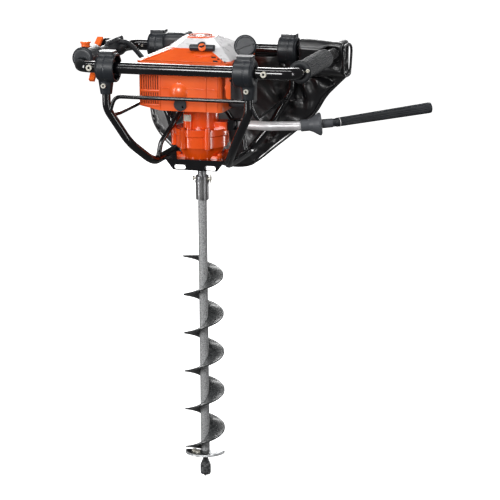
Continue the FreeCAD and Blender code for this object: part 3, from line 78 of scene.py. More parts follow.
# --------------------------------------------------------------------------- materials
class Shader:
    """A Principled material built from a few nodes in object space."""

    def __init__(self, name, rough=0.5, metal=0.0, coat=0.0, coat_rough=0.05, specular=0.5):
        self.material = bpy.data.materials.new(name)
        self.material.use_nodes = True
        self.tree = self.material.node_tree
        self.main = self.tree.nodes["Principled BSDF"]
        self.main.inputs["Roughness"].default_value = rough
        self.main.inputs["Metallic"].default_value = metal
        self.main.inputs["Coat Weight"].default_value = coat
        self.main.inputs["Coat Roughness"].default_value = coat_rough
        self.main.inputs["Specular IOR Level"].default_value = specular
        self.place = self.tree.nodes.new("ShaderNodeTexCoord").outputs["Object"]
        self.normal = None

    def add(self, kind, **inputs):
        node = self.tree.nodes.new(kind)
        for key, value in inputs.items():
            node.inputs[key.replace("_", " ")].default_value = value
        return node

    def stretched(self, scale):
        node = self.add("ShaderNodeMapping", Scale=scale)
        self.tree.links.new(self.place, node.inputs["Vector"])
        return node.outputs["Vector"]

    def noise(self, scale, detail=3.0, stretch=None):
        node = self.add("ShaderNodeTexNoise", Scale=scale, Detail=detail)
        where = self.stretched(stretch) if stretch else self.place
        self.tree.links.new(where, node.inputs["Vector"])
        return node.outputs["Fac"]

    def cells(self, scale):
        node = self.add("ShaderNodeTexVoronoi", Scale=scale)
        self.tree.links.new(self.place, node.inputs["Vector"])
        return node.outputs["Distance"]

    def spread(self, value, low, high, first, last):
        """Map a value from low..high to first..last."""
        node = self.add("ShaderNodeMapRange")
        for key, number in (("From Min", low), ("From Max", high), ("To Min", first),
                            ("To Max", last)):
            node.inputs[key].default_value = number
        self.tree.links.new(value, node.inputs["Value"])
        return node.outputs["Result"]

    def colour(self, value, *stops):
        """Colour from a value through (place, (r, g, b)) stops."""
        ramp = self.tree.nodes.new("ShaderNodeValToRGB")
        elements = ramp.color_ramp.elements
        while len(elements) < len(stops):
            elements.new(0.5)
        for element, (where, tint) in zip(elements, stops):
            element.position = where
            element.color = (*tint, 1)
        self.tree.links.new(value, ramp.inputs["Fac"])
        self.tree.links.new(ramp.outputs["Color"], self.main.inputs["Base Color"])

    def roughness(self, value, low, high):
        self.tree.links.new(self.spread(value, 0.3, 0.7, low, high),
                            self.main.inputs["Roughness"])

    def bump(self, height, depth, strength=1.0):
        node = self.add("ShaderNodeBump", Strength=strength, Distance=depth)
        self.tree.links.new(height, node.inputs["Height"])
        if self.normal:
            self.tree.links.new(self.normal, node.inputs["Normal"])
        self.normal = node.outputs["Normal"]
        self.tree.links.new(self.normal, self.main.inputs["Normal"])


def plain(name, dark, light, rough, grain, depth, spread=0.06, **main):
    """Moulded or painted surface: slow colour drift, patchy gloss and a fine grain."""
    shader = Shader(name, rough=rough, **main)
    shader.colour(shader.noise(14, 4), (0.3, dark), (0.7, light))
    shader.roughness(shader.noise(55, 5), rough - spread, rough + spread)
    shader.bump(shader.noise(grain, 2), depth)
    return shader.material


def make_materials():
    made = {}
    made["black_paint"] = plain("black_paint", (0.003, 0.003, 0.004), (0.007, 0.007, 0.008),
                                0.15, 260, 0.00003, spread=0.04, coat=0.5, coat_rough=0.05)
    made["mount_plastic"] = plain("mount_plastic", (0.008, 0.010, 0.013), (0.015, 0.018, 0.023),
                                  0.40, 1400, 0.00006, specular=0.48)
    made["housing_plastic"] = plain("housing_plastic", (0.011, 0.013, 0.016),
                                    (0.021, 0.024, 0.029), 0.36, 1500, 0.00007)
    made["stop_rubber"] = plain("stop_rubber", (0.062, 0.066, 0.074), (0.092, 0.097, 0.106),
                                0.42, 1200, 0.00006)
    made["tank_plastic"] = plain("tank_plastic", (0.020, 0.022, 0.025), (0.036, 0.039, 0.044),
                                 0.45, 900, 0.00008)
    made["black_rubber"] = plain("black_rubber", (0.010, 0.011, 0.013), (0.020, 0.022, 0.025),
                                 0.55, 1200, 0.00009, specular=0.4)
    made["orange_plastic"] = plain("orange_plastic", (0.75, 0.090, 0.009), (0.83, 0.116, 0.013),
                                   0.34, 700, 0.00005, coat=0.35, coat_rough=0.12)
    made["orange_paint"] = plain("orange_paint", (0.80, 0.070, 0.003), (0.90, 0.098, 0.006),
                                 0.24, 330, 0.00022, coat=0.7, coat_rough=0.08)
    made["control_orange"] = plain("control_orange", (0.84, 0.120, 0.012), (0.90, 0.150, 0.018),
                                   0.34, 900, 0.00004)
    # dark orange painted as the shade inside slots, on the top inlet and behind the shroud
    # louvres
    made["painted_shade_orange"] = plain("painted_shade_orange", (0.20, 0.022, 0.004), (0.30, 0.036, 0.006),
                                0.6, 700, 0.00005)
    made["white_plastic"] = plain("white_plastic", (0.60, 0.59, 0.60), (0.70, 0.69, 0.70),
                                  0.30, 800, 0.00004, coat=0.3)
    # near-black painted shade, laid as thin plates where screw sockets and air slots would hold
    # shade
    made["painted_shade_recess"] = plain("painted_shade_recess", (0.006, 0.005, 0.005), (0.012, 0.010, 0.010),
                                0.7, 600, 0.00005)
    made["thread"] = plain("thread", (0.05, 0.05, 0.055), (0.10, 0.10, 0.11), 0.7, 3000, 0.0001)
    made["cord"] = plain("cord", (0.05, 0.05, 0.05), (0.12, 0.12, 0.12), 0.8, 2400, 0.0002)
    made["muffler_steel"] = plain("muffler_steel", (0.05, 0.05, 0.05), (0.09, 0.085, 0.08),
                                  0.6, 500, 0.0001)

    steel = Shader("spindle_steel", rough=0.3, metal=1.0)
    steel.colour(steel.noise(60, 5), (0.3, (0.26, 0.26, 0.27)), (0.7, (0.46, 0.46, 0.47)))
    steel.roughness(steel.noise(500, 2, (1, 1, 12)), 0.22, 0.42)
    steel.bump(steel.noise(500, 2, (1, 1, 12)), 0.00004)
    made["spindle_steel"] = steel.material

    zinc = Shader("zinc_steel", rough=0.32, metal=0.35)
    zinc.colour(zinc.noise(300, 4), (0.35, (0.58, 0.55, 0.45)), (0.7, (0.84, 0.82, 0.75)))
    zinc.roughness(zinc.noise(700, 3), 0.22, 0.40)
    zinc.bump(zinc.noise(900, 2), 0.00003)
    made["zinc_steel"] = zinc.material

    cast = Shader("cast_aluminium", rough=0.5, metal=1.0)
    cast.colour(cast.noise(90, 5), (0.3, (0.34, 0.34, 0.35)), (0.7, (0.55, 0.55, 0.56)))
    cast.bump(cast.noise(900, 4), 0.00025)
    made["cast_aluminium"] = cast.material

    tube = Shader("bar_aluminium", rough=0.38, metal=0.35)
    tube.colour(tube.noise(26, 4), (0.3, (0.62, 0.60, 0.61)), (0.7, (0.76, 0.75, 0.76)))
    tube.roughness(tube.noise(420, 3, (0.06, 1, 1)), 0.26, 0.44)
    tube.bump(tube.noise(620, 2, (0.05, 1, 1)), 0.00003)
    made["bar_aluminium"] = tube.material

    bit = Shader("bit_paint", rough=0.34, metal=0.15, coat=0.4, coat_rough=0.12)
    bit.colour(bit.noise(620, 6), (0.34, (0.13, 0.132, 0.137)), (0.50, (0.36, 0.365, 0.37)),
               (0.66, (0.66, 0.67, 0.67)))
    bit.roughness(bit.noise(240, 3), 0.24, 0.50)
    bit.bump(bit.cells(420), 0.0003, 0.8)
    made["bit_paint"] = bit.material

    flight = Shader("flight_paint", rough=0.30, metal=0.2, coat=0.4, coat_rough=0.12)
    flight.colour(flight.noise(520, 6), (0.34, (0.012, 0.013, 0.014)),
                  (0.55, (0.042, 0.045, 0.046)), (0.74, (0.20, 0.21, 0.21)))
    flight.roughness(flight.noise(200, 3), 0.20, 0.46)
    flight.bump(flight.cells(330), 0.0003, 0.7)
    made["flight_paint"] = flight.material

    worn = Shader("blade_steel", rough=0.35, metal=0.9)
    worn.colour(worn.noise(210, 6), (0.34, (0.05, 0.052, 0.055)), (0.52, (0.17, 0.175, 0.18)),
                (0.72, (0.45, 0.46, 0.47)))
    worn.roughness(worn.noise(300, 4), 0.25, 0.55)
    worn.bump(worn.noise(420, 4), 0.0002)
    made["blade_steel"] = worn.material

    ground = Shader("ground_steel", rough=0.35, metal=0.4)
    ground.colour(ground.noise(300, 5), (0.35, (0.30, 0.31, 0.32)), (0.7, (0.72, 0.73, 0.74)))
    ground.bump(ground.noise(700, 3), 0.0001)
    made["ground_steel"] = ground.material

    vinyl = Shader("vinyl", rough=0.32, coat=0.3, coat_rough=0.25, specular=0.8)
    vinyl.colour(vinyl.noise(18, 4), (0.3, (0.005, 0.005, 0.006)), (0.7, (0.009, 0.009, 0.011)))
    vinyl.roughness(vinyl.noise(40, 5), 0.32, 0.42)
    vinyl.bump(vinyl.cells(900), 0.00008, 0.5)
    vinyl.bump(vinyl.noise(120, 4), 0.00012, 0.5)
    made["vinyl"] = vinyl.material
    return made


MATERIALS = make_materials()


def dress(obj, name):
    obj.data.materials.clear()
    obj.data.materials.append(MATERIALS[name])
    return obj


def dress_cad():
    slots = {part["node"]: part["material_slot"] for part in frame["record"]["subparts"]}
    own = {"bit_flight": "flight_paint", "brake_stop": "stop_rubber"}
    for name, obj in NODES.items():
        material = MATERIALS[own.get(name, slots[name])]
        for i in range(max(1, len(obj.material_slots))):
            if obj.material_slots:
                obj.material_slots[i].material = material
            else:
                obj.data.materials.append(material)


dress_cad()


# --------------------------------------------------------------------------- mesh helpers
def mesh_object(name, vertices, faces, smooth=False):
    mesh = bpy.data.meshes.new(name)
    mesh.from_pydata([tuple(v) for v in vertices], [], faces)
    mesh.update()
    work = bmesh.new()
    work.from_mesh(mesh)
    bmesh.ops.recalc_face_normals(work, faces=work.faces)
    work.to_mesh(mesh)
    work.free()
    for polygon in mesh.polygons:
        polygon.use_smooth = smooth
    obj = bpy.data.objects.new(name, mesh)
    bpy.context.scene.collection.objects.link(obj)
    return obj


def copy_of(node, name):
    """A free copy of a CAD node, to be worked on and ridden on a body."""
    copy = NODES[node].copy()
    copy.data = NODES[node].data.copy()
    copy.name = name
    copy.hide_render = copy.hide_viewport = False
    copy.parent = None
    for key in list(copy.keys()):
        del copy[key]
    bpy.context.scene.collection.objects.link(copy)
    return copy


def apply_modifiers(obj):
    """Replace the object's mesh by its modified mesh."""
    graph = bpy.context.evaluated_depsgraph_get()
    graph.update()
    mesh = bpy.data.meshes.new_from_object(obj.evaluated_get(graph))
    obj.modifiers.clear()
    old = obj.data
    obj.data = mesh
    bpy.data.meshes.remove(old)
    return obj


def bevelled(obj, width):
    bevel = obj.modifiers.new("bevel", "BEVEL")
    bevel.width = width
    bevel.segments = 2
    bevel.angle_limit = math.radians(35)
    apply_modifiers(obj)
    for polygon in obj.data.polygons:
        polygon.use_smooth = True
    return obj


def lathe(name, base, axis, profile, around=96, ripple=None):
    """Turn (height, radius) points about axis; ripple(height, angle) adds to the radius."""
    axis = Vector(axis).normalized()
    across = axis.orthogonal().normalized()
    other = axis.cross(across)
    base = Vector(base)
    vertices = []
    faces = []
    for height, radius in profile:
        for k in range(around):
            angle = 2 * math.pi * k / around
            reach = radius + (ripple(height, angle) if ripple else 0)
            vertices.append(base + axis * height + across * (reach * math.cos(angle))
                            + other * (reach * math.sin(angle)))
    for row in range(len(profile)):
        nxt = (row + 1) % len(profile)
        for k in range(around):
            m = (k + 1) % around
            faces.append((row * around + k, row * around + m, nxt * around + m,
                          nxt * around + k))
    return mesh_object(name, vertices, faces, smooth=True)


def slab(name, outline, thick, soft=0.0004):
    """Plate from a closed outline of points, thickened along its normal."""
    points = [Vector(p) for p in outline]
    normal = (points[1] - points[0]).cross(points[2] - points[1]).normalized()
    count = len(points)
    vertices = points + [p + normal * thick for p in points]
    faces = [tuple(range(count))[::-1], tuple(range(count, 2 * count))]
    faces += [(i, (i + 1) % count, count + (i + 1) % count, count + i) for i in range(count)]
    return bevelled(mesh_object(name, vertices, faces), soft)


def tube_curve(name, points, radius, closed=False):
    curve = bpy.data.curves.new(name, "CURVE")
    curve.dimensions = "3D"
    curve.bevel_depth = radius
    curve.bevel_resolution = 4
    curve.resolution_u = 8
    spline = curve.splines.new("NURBS")
    spline.points.add(len(points) - 1)
    for point, where in zip(spline.points, points):
        point.co = (*where, 1)
    spline.order_u = 3
    spline.use_endpoint_u = not closed
    spline.use_cyclic_u = closed
    obj = bpy.data.objects.new(name, curve)
    bpy.context.scene.collection.objects.link(obj)
    return obj


def softened(node, voxel, rounds, material):
    """Copy of a CAD node with the small radii of a moulding on its edges."""
    copy = copy_of(node, node + "_moulded")
    remesh = copy.modifiers.new("remesh", "REMESH")
    remesh.mode = "VOXEL"
    remesh.voxel_size = voxel
    smooth = copy.modifiers.new("smooth", "SMOOTH")
    smooth.factor = 0.5
    smooth.iterations = rounds
    apply_modifiers(copy)
    for polygon in copy.data.polygons:
        polygon.use_smooth = True
    dress(copy, material)
    return copy


# --------------------------------------------------------------------------- hip pad
def near_line(x, z, line):
    """How close (x, z) is to a fold line, from 0 to 1, with soft ends."""
    x0, z0, x1, z1, width = line
    span = (x1 - x0) ** 2 + (z1 - z0) ** 2
    t = max(0.0, min(1.0, ((x - x0) * (x1 - x0) + (z - z0) * (z1 - z0)) / span))
    gap = math.hypot(x - x0 - t * (x1 - x0), z - z0 - t * (z1 - z0))
    return math.exp(-(gap / width) ** 2)


# ridges and hollows on the operator's pad: x0, z0, x1, z1, half width, height, in metres
PAD_FOLDS = [
    (0.150, 0.905, 0.196, 0.862, 0.018, 0.0080), (0.214, 0.930, 0.262, 0.905, 0.013, 0.0065),
    (0.196, 0.900, 0.236, 0.868, 0.015, 0.0060), (0.186, 0.872, 0.198, 0.822, 0.014, 0.0070),
    (0.128, 0.852, 0.168, 0.826, 0.017, 0.0070), (0.090, 0.900, 0.120, 0.868, 0.020, 0.0070),
    (0.060, 0.836, 0.100, 0.806, 0.020, 0.0060), (0.110, 0.792, 0.150, 0.776, 0.016, 0.0060),
    (0.070, 0.760, 0.110, 0.742, 0.015, 0.0055), (0.218, 0.890, 0.222, 0.850, 0.011, 0.0050),
    (-0.120, 0.860, -0.095, 0.790, 0.020, 0.0065), (-0.060, 0.830, -0.040, 0.770, 0.019, 0.006),
    (-0.150, 0.900, -0.130, 0.850, 0.015, 0.0060), (0.010, 0.760, 0.030, 0.715, 0.016, 0.0055),
    (0.168, 0.892, 0.182, 0.846, 0.010, -0.0070), (0.205, 0.915, 0.245, 0.884, 0.008, -0.0070),
    (0.126, 0.866, 0.150, 0.822, 0.010, -0.0060), (-0.140, 0.858, -0.116, 0.790, 0.010, -0.006),
    (0.186, 0.964, 0.240, 0.967, 0.010, 0.0045), (0.190, 0.936, 0.238, 0.950, 0.008, -0.0045),
    (0.186, 0.918, 0.230, 0.912, 0.009, 0.0040), (0.245, 0.930, 0.280, 0.912, 0.008, 0.0035),
]


def fold_height(x, z):
    total = 1.5 * sum(height * near_line(x, z, (x0, z0, x1, z1, width))
                for x0, z0, x1, z1, width, height in PAD_FOLDS)
    drift = noise.noise(Vector((x * 15, z * 15, 3.7))) * 0.0034
    ripple = noise.noise(Vector((x * 40, z * 30, 9.1))) * 0.0007
    return total + drift + ripple


# sewn channels on the operator's side: x0, z0, x1, z1
PAD_SEAMS = [(-0.176, 0.892, 0.270, 0.892), (-0.100, 0.730, -0.100, 0.892),
             (-0.010, 0.700, -0.010, 0.892), (0.080, 0.712, 0.080, 0.892),
             (0.160, 0.780, 0.160, 0.892)]


def seam_depth(x, z):
    """How far the operator's side stands out: full between the seams, drawn in at them."""
    full = 0.0045
    drawn = 0.0
    for x0, z0, x1, z1 in PAD_SEAMS:
        near = near_line(x, z, (x0, z0, x1, z1, 0.0075))
        wide = near_line(x, z, (x0, z0, x1, z1, 0.0220))
        drawn = max(drawn, 0.6 * near + 0.4 * wide)
    return full - 0.0095 * drawn


def inflate(obj, cap, frames=16):
    """Puff a closed mesh with cloth pressure, holding every point within cap of its start."""
    start = [v.co.copy() for v in obj.data.vertices]
    cloth = obj.modifiers.new("cloth", "CLOTH")
    cloth.settings.use_pressure = True
    cloth.settings.uniform_pressure_force = 4.0
    cloth.settings.tension_stiffness = 12
    cloth.settings.bending_stiffness = 2
    cloth.settings.effector_weights.gravity = 0
    cloth.settings.quality = 4
    cloth.point_cache.frame_start = 1
    cloth.point_cache.frame_end = frames
    scene = bpy.context.scene
    for number in range(1, frames + 1):
        scene.frame_set(number)
    apply_modifiers(obj)
    scene.frame_set(1)
    for vertex, home in zip(obj.data.vertices, start):
        step = vertex.co - home
        if step.length > cap:
            vertex.co = home + step * (cap / step.length)


def stitching(pad):
    """Rows of short grey stitches each side of the sewn channels."""
    spacing, apart = 0.0065, 0.0042
    tree = BVHTree.FromPolygons([v.co for v in pad.data.vertices],
                                [p.vertices[:] for p in pad.data.polygons])
    vertices = []
    faces = []
    for x0, z0, x1, z1 in PAD_SEAMS:
        run = Vector((x1 - x0, 0, z1 - z0))
        length = run.length
        run.normalize()
        aside = Vector((run.z, 0, -run.x))
        for offset in (-apart, apart):
            for k in range(int(length / spacing)):
                middle = Vector((x0, 0.3, z0)) + run * (0.004 + spacing * k) + aside * offset
                hit, normal = tree.ray_cast(middle, Vector((0, -1, 0)))[:2]
                if hit is None or normal.y < 0.6:
                    continue
                flat = (run - normal * run.dot(normal)).normalized()
                across = flat.cross(normal)
                f = len(vertices)
                for end in (-1, 1):
                    tip = hit + flat * (0.0021 * end)
                    vertices.extend((tip + across * 0.0005 - normal * 0.0003,
                                     tip + normal * 0.00015,
                                     tip - across * 0.0005 - normal * 0.0003))
                crest = hit + normal * 0.0007
                vertices.extend((crest + across * 0.0006 - normal * 0.0005, crest,
                                 crest - across * 0.0006 - normal * 0.0005))
                faces.extend([(f, f + 6, f + 7, f + 1), (f + 1, f + 7, f + 8, f + 2),
                              (f + 6, f + 3, f + 4, f + 7), (f + 7, f + 4, f + 5, f + 8)])
    thread = mesh_object("pad_stitches", vertices, faces)
    dress(thread, "thread")
    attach(thread, "machine")


def hip_pad():
    pad = copy_of("hip_pad", "hip_pad_cover")
    remesh = pad.modifiers.new("remesh", "REMESH")
    remesh.mode = "VOXEL"
    remesh.voxel_size = 0.005
    smooth = pad.modifiers.new("smooth", "SMOOTH")
    smooth.iterations = 5
    apply_modifiers(pad)
    inflate(pad, 0.004)
    subdivide = pad.modifiers.new("subdivide", "SUBSURF")
    subdivide.levels = 1
    apply_modifiers(pad)
    normals = [v.normal.copy() for v in pad.data.vertices]
    for vertex, normal in zip(pad.data.vertices, normals):
        where = vertex.co
        x, z = where.x, where.z
        facing = max(0.0, -normal.y) ** 2
        # the sleeve's top falls towards its open end
        if x > 0.181 and z > 0.905:
            where.z -= 0.012 * (x - 0.181) / 0.103 * (z - 0.905) / 0.082
        rise = fold_height(x, z)
        if z > 0.84:
            # flat where the rear leg stands close in front
            rise *= min(1.0, abs(x - REAR_LEG_X) / 0.022)
        where.y -= facing * rise
        if where.x < 0.275 and z < 0.93:
            where.y += max(0.0, normal.y) ** 2 * seam_depth(x, z)
        loose = noise.noise(Vector((x * 26, where.y * 40, z * 26))) * 0.0016
        where += normal * loose * (1 - facing)
    for polygon in pad.data.polygons:
        polygon.use_smooth = True
    dress(pad, "vinyl")
    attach(pad, "machine")
    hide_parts("hip_pad")

    # piping along the sewn rim, and round the mouth of the sleeve
    rim = [(-0.183, 0.905), (-0.185, 0.850), (-0.184, 0.806), (-0.172, 0.766), (-0.128, 0.724),
           (-0.094, 0.706), (0.004, 0.688), (0.060, 0.688), (0.086, 0.706), (0.106, 0.724),
           (0.158, 0.766), (0.203, 0.806), (0.224, 0.846), (0.250, 0.872), (0.280, 0.901)]
    fronts = [(0.915, 0.190), (0.846, 0.190), (0.804, 0.188), (0.765, 0.177), (0.722, 0.163),
              (0.686, 0.150)]

    def front_at(z):
        for (z1, y1), (z0, y0) in zip(fronts, fronts[1:]):
            if z >= z0:
                return y0 + (y1 - y0) * min(1.0, (z - z0) / (z1 - z0))
        return fronts[-1][1]

    piping = tube_curve("pad_piping", [(x, front_at(z) + 0.003, z) for x, z in rim], 0.0022)
    back_piping = tube_curve("pad_back_piping",
                             [(x, front_at(z) + 0.0255, z) for x, z in rim], 0.0022)
    mouth = []
    for k in range(24):
        angle = 2 * math.pi * k / 24
        across = 0.0345 * math.copysign(abs(math.cos(angle)) ** 0.55, math.cos(angle))
        high = 0.037 * math.copysign(abs(math.sin(angle)) ** 0.55, math.sin(angle))
        mouth.append((0.2835 + 0.0012 * math.sin(3 * angle), 0.1795 + across,
                      0.9375 + high - (0.005 if high > 0 else 0)))
    mouth_rim = tube_curve("pad_sleeve_rim", mouth, 0.0030, closed=True)
    for piece in (piping, back_piping, mouth_rim):
        dress(piece, "vinyl")
        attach(piece, "machine")
    stitching(pad)


hip_pad()


# --------------------------------------------------------------------------- grips
def right_grip():
    def ribs(height, angle):
        if not 0.022 < height < 0.196:
            return 0
        return 0.0007 * math.cos(30 * angle) + 0.0004 * math.cos(height * 1500)

    rows = [(0, 0.01256), (0, 0.0205), (0.001, 0.0222), (0.0035, 0.0244), (0.006, 0.0242),
            (0.009, 0.0214), (0.0125, 0.0198)]
    rows += [(0.020 + 0.00125 * k, 0.0196 + 0.0008 * min(1, k / 60)) for k in range(143)]
    rows += [(0.2000, 0.0200), (0.2018, 0.0180), (0.2018, 0.01256)]
    grip = lathe("right_grip_ribbed", (0.262, -0.136, TUBE_HEIGHT), (0, 1, 0), rows, 120, ribs)
    dress(grip, "black_rubber")
    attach(grip, "machine")
    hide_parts("right_grip")


def brake_sleeve():
    start = Vector((0.297, 0.0225, 0.822))
    tip = Vector((0.478, 0.160, 0.840))
    axis = (tip - start).normalized()
    base = start + axis * 0.0012
    length = (tip - base).length

    def flutes(height, angle):
        return 0.00055 * math.cos(18 * angle) if 0.006 < height < length - 0.006 else 0

    rows = [(0, 0.00706), (0, 0.0088), (0.0012, 0.0098), (0.005, 0.0099), (0.0065, 0.0094)]
    rows += [(0.0075 + (length - 0.0135) * k / 40, 0.0094 + 0.0021 * k / 40)
             for k in range(41)]
    rows += [(length - 0.0035, 0.0120), (length - 0.001, 0.0115), (length, 0.0098),
             (length, 0.001), (length - 0.004, 0.001), (length - 0.004, 0.00706)]
    sleeve = lathe("brake_sleeve_fluted", base, axis, rows, 108, flutes)
    dress(sleeve, "mount_plastic")
    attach(sleeve, "brake")
    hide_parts("brake_sleeve")
    # boot over the bend between the stop and the sleeve
    elbow = Vector((0.222, -0.002, 0.8154))
    run = (start - elbow).normalized()
    boot = tube_curve("knee_boot", [elbow + run * 0.072, start - run * 0.003, start,
                                    start + axis * 0.003, base + axis * 0.0065], 0.0089)
    dress(boot, "housing_plastic")
    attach(boot, "brake")
    ring = lathe("sleeve_ring", base + axis * 0.0075, axis,
                 [(0, 0.0090), (0, 0.0101), (0.0004, 0.0104), (0.0014, 0.0104),
                  (0.0018, 0.0101), (0.0018, 0.0090)], 72)
    dress(ring, "bar_aluminium")
    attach(ring, "brake")


right_grip()
brake_sleeve()


# --------------------------------------------------------------------------- mouldings
def button_room(piece):
    """Opens the bore of the upper housing round the stop button, down to its pressed end."""
    bore = 0.00985
    for vertex in piece.data.vertices:
        x, y, z = vertex.co
        gap = math.hypot(x - BUTTON_X, y - BUTTON_Y)
        if gap > 0.0123 or z < 0.9715:
            continue
        vertex.co.z = min(z, 0.9905)
        if 0.0085 < gap < bore:
            vertex.co.x = BUTTON_X + (x - BUTTON_X) * bore / gap
            vertex.co.y = BUTTON_Y + (y - BUTTON_Y) * bore / gap
        if z < 0.9790:
            vertex.co.z = z - 0.0022


def moulded_parts():
    wanted = [("control_housing_upper", "housing_plastic", 0.0014, 9)]
    wanted += [("mount_" + side, "mount_plastic", 0.0013, 3)
               for side in ("front_left", "front_right", "rear_left", "rear_right")]
    wanted += [("air_filter_cover", "housing_plastic", 0.0016, 10),
               ("fuel_tank", "tank_plastic", 0.0016, 6)]
    for node, material, voxel, rounds in wanted:
        piece = softened(node, voxel, rounds, material)
        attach(piece, "machine")
        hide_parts(node)
        if node == "control_housing_upper":
            button_room(piece)


moulded_parts()


# --------------------------------------------------------------------------- cutting blade
def blade_edge():
    """Ground rim round the half disc of the blade."""
    section = [(0.0418, 0.0574), (0.0450, 0.0577), (0.0453, 0.0590), (0.0448, 0.0606),
               (0.0430, 0.0622), (0.0418, 0.0618)]
    steps = 60
    vertices = []
    faces = []
    for k in range(steps + 1):
        angle = math.radians(186 + 180 * k / steps)
        vertices.extend((r * math.cos(angle), r * math.sin(angle), z) for r, z in section)
    count = len(section)
    for k in range(steps):
        for i in range(count):
            m = (i + 1) % count
            faces.append((k * count + i, k * count + m, (k + 1) * count + m,
                          (k + 1) * count + i))
    faces.append(tuple(range(count)))
    faces.append(tuple(range(steps * count, (steps + 1) * count))[::-1])
    rim = mesh_object("blade_ground_edge", vertices, faces)
    dress(rim, "ground_steel")
    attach(rim, "auger")


blade_edge()


# --------------------------------------------------------------------------- screws
def screw_finish():
    """The case screws are painted with the case; the others are bright zinc."""
    for name, material, painted in (("screws_painted", "orange_paint", True),
                                    ("screws_bright", "zinc_steel", False)):
        piece = copy_of("frame_screws", name)
        work = bmesh.new()
        work.from_mesh(piece.data)
        wrong = [f for f in work.faces
                 if (f.calc_center_median().z < 0.8145
                     and abs(f.calc_center_median().x) < 0.08) != painted]
        bmesh.ops.delete(work, geom=wrong, context="FACES")
        work.to_mesh(piece.data)
        work.free()
        dress(piece, material)
        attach(piece, "machine")
        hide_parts("frame_screws")

    # six-sided sockets in the heads that face outwards, drawn as thin discs of painted shade
    places = [(x, side * (0.168 + 0.0161 + 0.0022), 0.917, side, 0.0024)
              for x in (-REAR_LEG_X, REAR_LEG_X) for side in (-1, 1)]
    places += [(x, side * (0.170 + 0.0126 + 0.0026), TUBE_HEIGHT, side, 0.0029)
               for x in (-0.191, 0.197) for side in (-1, 1)]
    for k, (x, y, z, side, radius) in enumerate(places):
        socket = lathe("screw_socket_%d" % k, (x, y, z), (0, side, 0),
                       [(0, radius), (0.0006, radius), (0.0006, 0.0001), (0, 0.0001)], 6)
        dress(socket, "painted_shade_recess")
        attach(socket, "machine")
    # small clamp screw on the flange of the right grip
    clamp = lathe("grip_clamp_screw", (0.2795, -0.1345, 0.958), (0, -1, 0),
                  [(0, 0.0040), (0.0030, 0.0040), (0.0036, 0.0034), (0.0036, 0.0016),
                   (0.0022, 0.0014), (0.0022, 0.0001), (0, 0.0001)], 24)
    dress(clamp, "zinc_steel")
    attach(clamp, "machine")


screw_finish()


# --------------------------------------------------------------------------- starter cover
def cover_ring(x_low, x_high, y_low, y_high, front, back, z):
    points = [(x_low + front, y_low), (x_high - front, y_low), (x_high, y_low + front),
              (x_high, y_high - back), (x_high - back, y_high), (x_low + back, y_high),
              (x_low, y_high - back), (x_low, y_low + front)]
    return [Vector((x / 1000, y / 1000, z / 1000)) for x, y in points]


RIGHT_AND_REAR = (1, 2, 3, 4)


def cover_trim():
    low = cover_ring(-108, 104, -119, 104, 10, 40, 964.1)
    middle = cover_ring(-52, 66, -82, 66, 22, 22, 988)
    top = cover_ring(-34, 34, -34, 34, 14, 14, 1004)
    vertices = []
    faces = []

    def quad(a, b, c, d):
        """Panel just proud of the cover, between two edges of it."""
        normal = (b - a).cross(d - a)
        if normal.length < 1e-12:
            normal = (b - a).cross(c - a)
        normal.normalize()
        if normal.z < 0:
            normal = -normal
        first = len(vertices)
        vertices.extend(p + normal * 0.0007 for p in (a, b, c, d))
        vertices.extend(p - normal * 0.0006 for p in (a, b, c, d))
        f = first
        faces.extend([(f, f + 1, f + 2, f + 3), (f + 7, f + 6, f + 5, f + 4),
                      (f, f + 4, f + 5, f + 1), (f + 1, f + 5, f + 6, f + 2),
                      (f + 2, f + 6, f + 7, f + 3), (f + 3, f + 7, f + 4, f)])

    for i in range(8):
        k = (i + 1) % 8
        # upper band all round, then the lower slope on the right side and the back
        inner = [top[j].lerp(middle[j], 0.04) for j in (i, k)]
        quad(middle[i], middle[k], inner[1], inner[0])
        if i in RIGHT_AND_REAR:
            quad(low[i].lerp(middle[i], 0.10), low[k].lerp(middle[k], 0.10), middle[k],
                 middle[i])
    # a narrow white edge runs down the left corner
    foot = low[7].lerp(middle[7], 0.10)
    quad(foot, foot.lerp(low[0].lerp(middle[0], 0.10), 0.35), middle[7].lerp(middle[0], 0.25),
         middle[7])
    band = mesh_object("cover_white_band", vertices, faces)
    band.data.materials.append(MATERIALS["white_plastic"])
    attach(band, "machine")

    # round air inlet on top: raised ring and a fan of fine slots, drawn as thin dark orange
    # wedges of painted shade
    ring = lathe("inlet_ring", (0, 0, 1.0048), UP,
                 [(0, 0.0300), (0.0011, 0.0296), (0.0013, 0.0286), (0.0013, 0.0276),
                  (0.0004, 0.0270), (-0.0006, 0.0270), (-0.0006, 0.0300)], 72)
    dress(ring, "orange_plastic")
    hub = lathe("inlet_hub", (0, 0, 1.0048), UP,
                [(0, 0.0090), (0.0010, 0.0086), (0.0014, 0.0074), (0.0014, 0.0005),
                 (-0.0006, 0.0005), (-0.0006, 0.0090)], 48)
    dress(hub, "orange_plastic")
    slots = []
    slot_faces = []
    for k in range(28):
        angle = 2 * math.pi * k / 28
        out = Vector((math.cos(angle), math.sin(angle), 0))
        side = Vector((-out.y, out.x, 0))
        corners = [out * 0.0105 - side * 0.0007, out * 0.0105 + side * 0.0007,
                   out * 0.0255 + side * 0.0015, out * 0.0255 - side * 0.0015]
        first = len(slots)
        slots.extend(c + Vector((0, 0, 1.00555)) for c in corners)
        slots.extend(c + Vector((0, 0, 1.0046)) for c in corners)
        f = first
        slot_faces.extend([(f, f + 1, f + 2, f + 3), (f + 7, f + 6, f + 5, f + 4),
                           (f, f + 4, f + 5, f + 1), (f + 1, f + 5, f + 6, f + 2),
                           (f + 2, f + 6, f + 7, f + 3), (f + 3, f + 7, f + 4, f)])
    fan = mesh_object("inlet_slot_shade", slots, slot_faces)
    dress(fan, "painted_shade_orange")
    for piece in (ring, hub, fan):
        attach(piece, "machine")


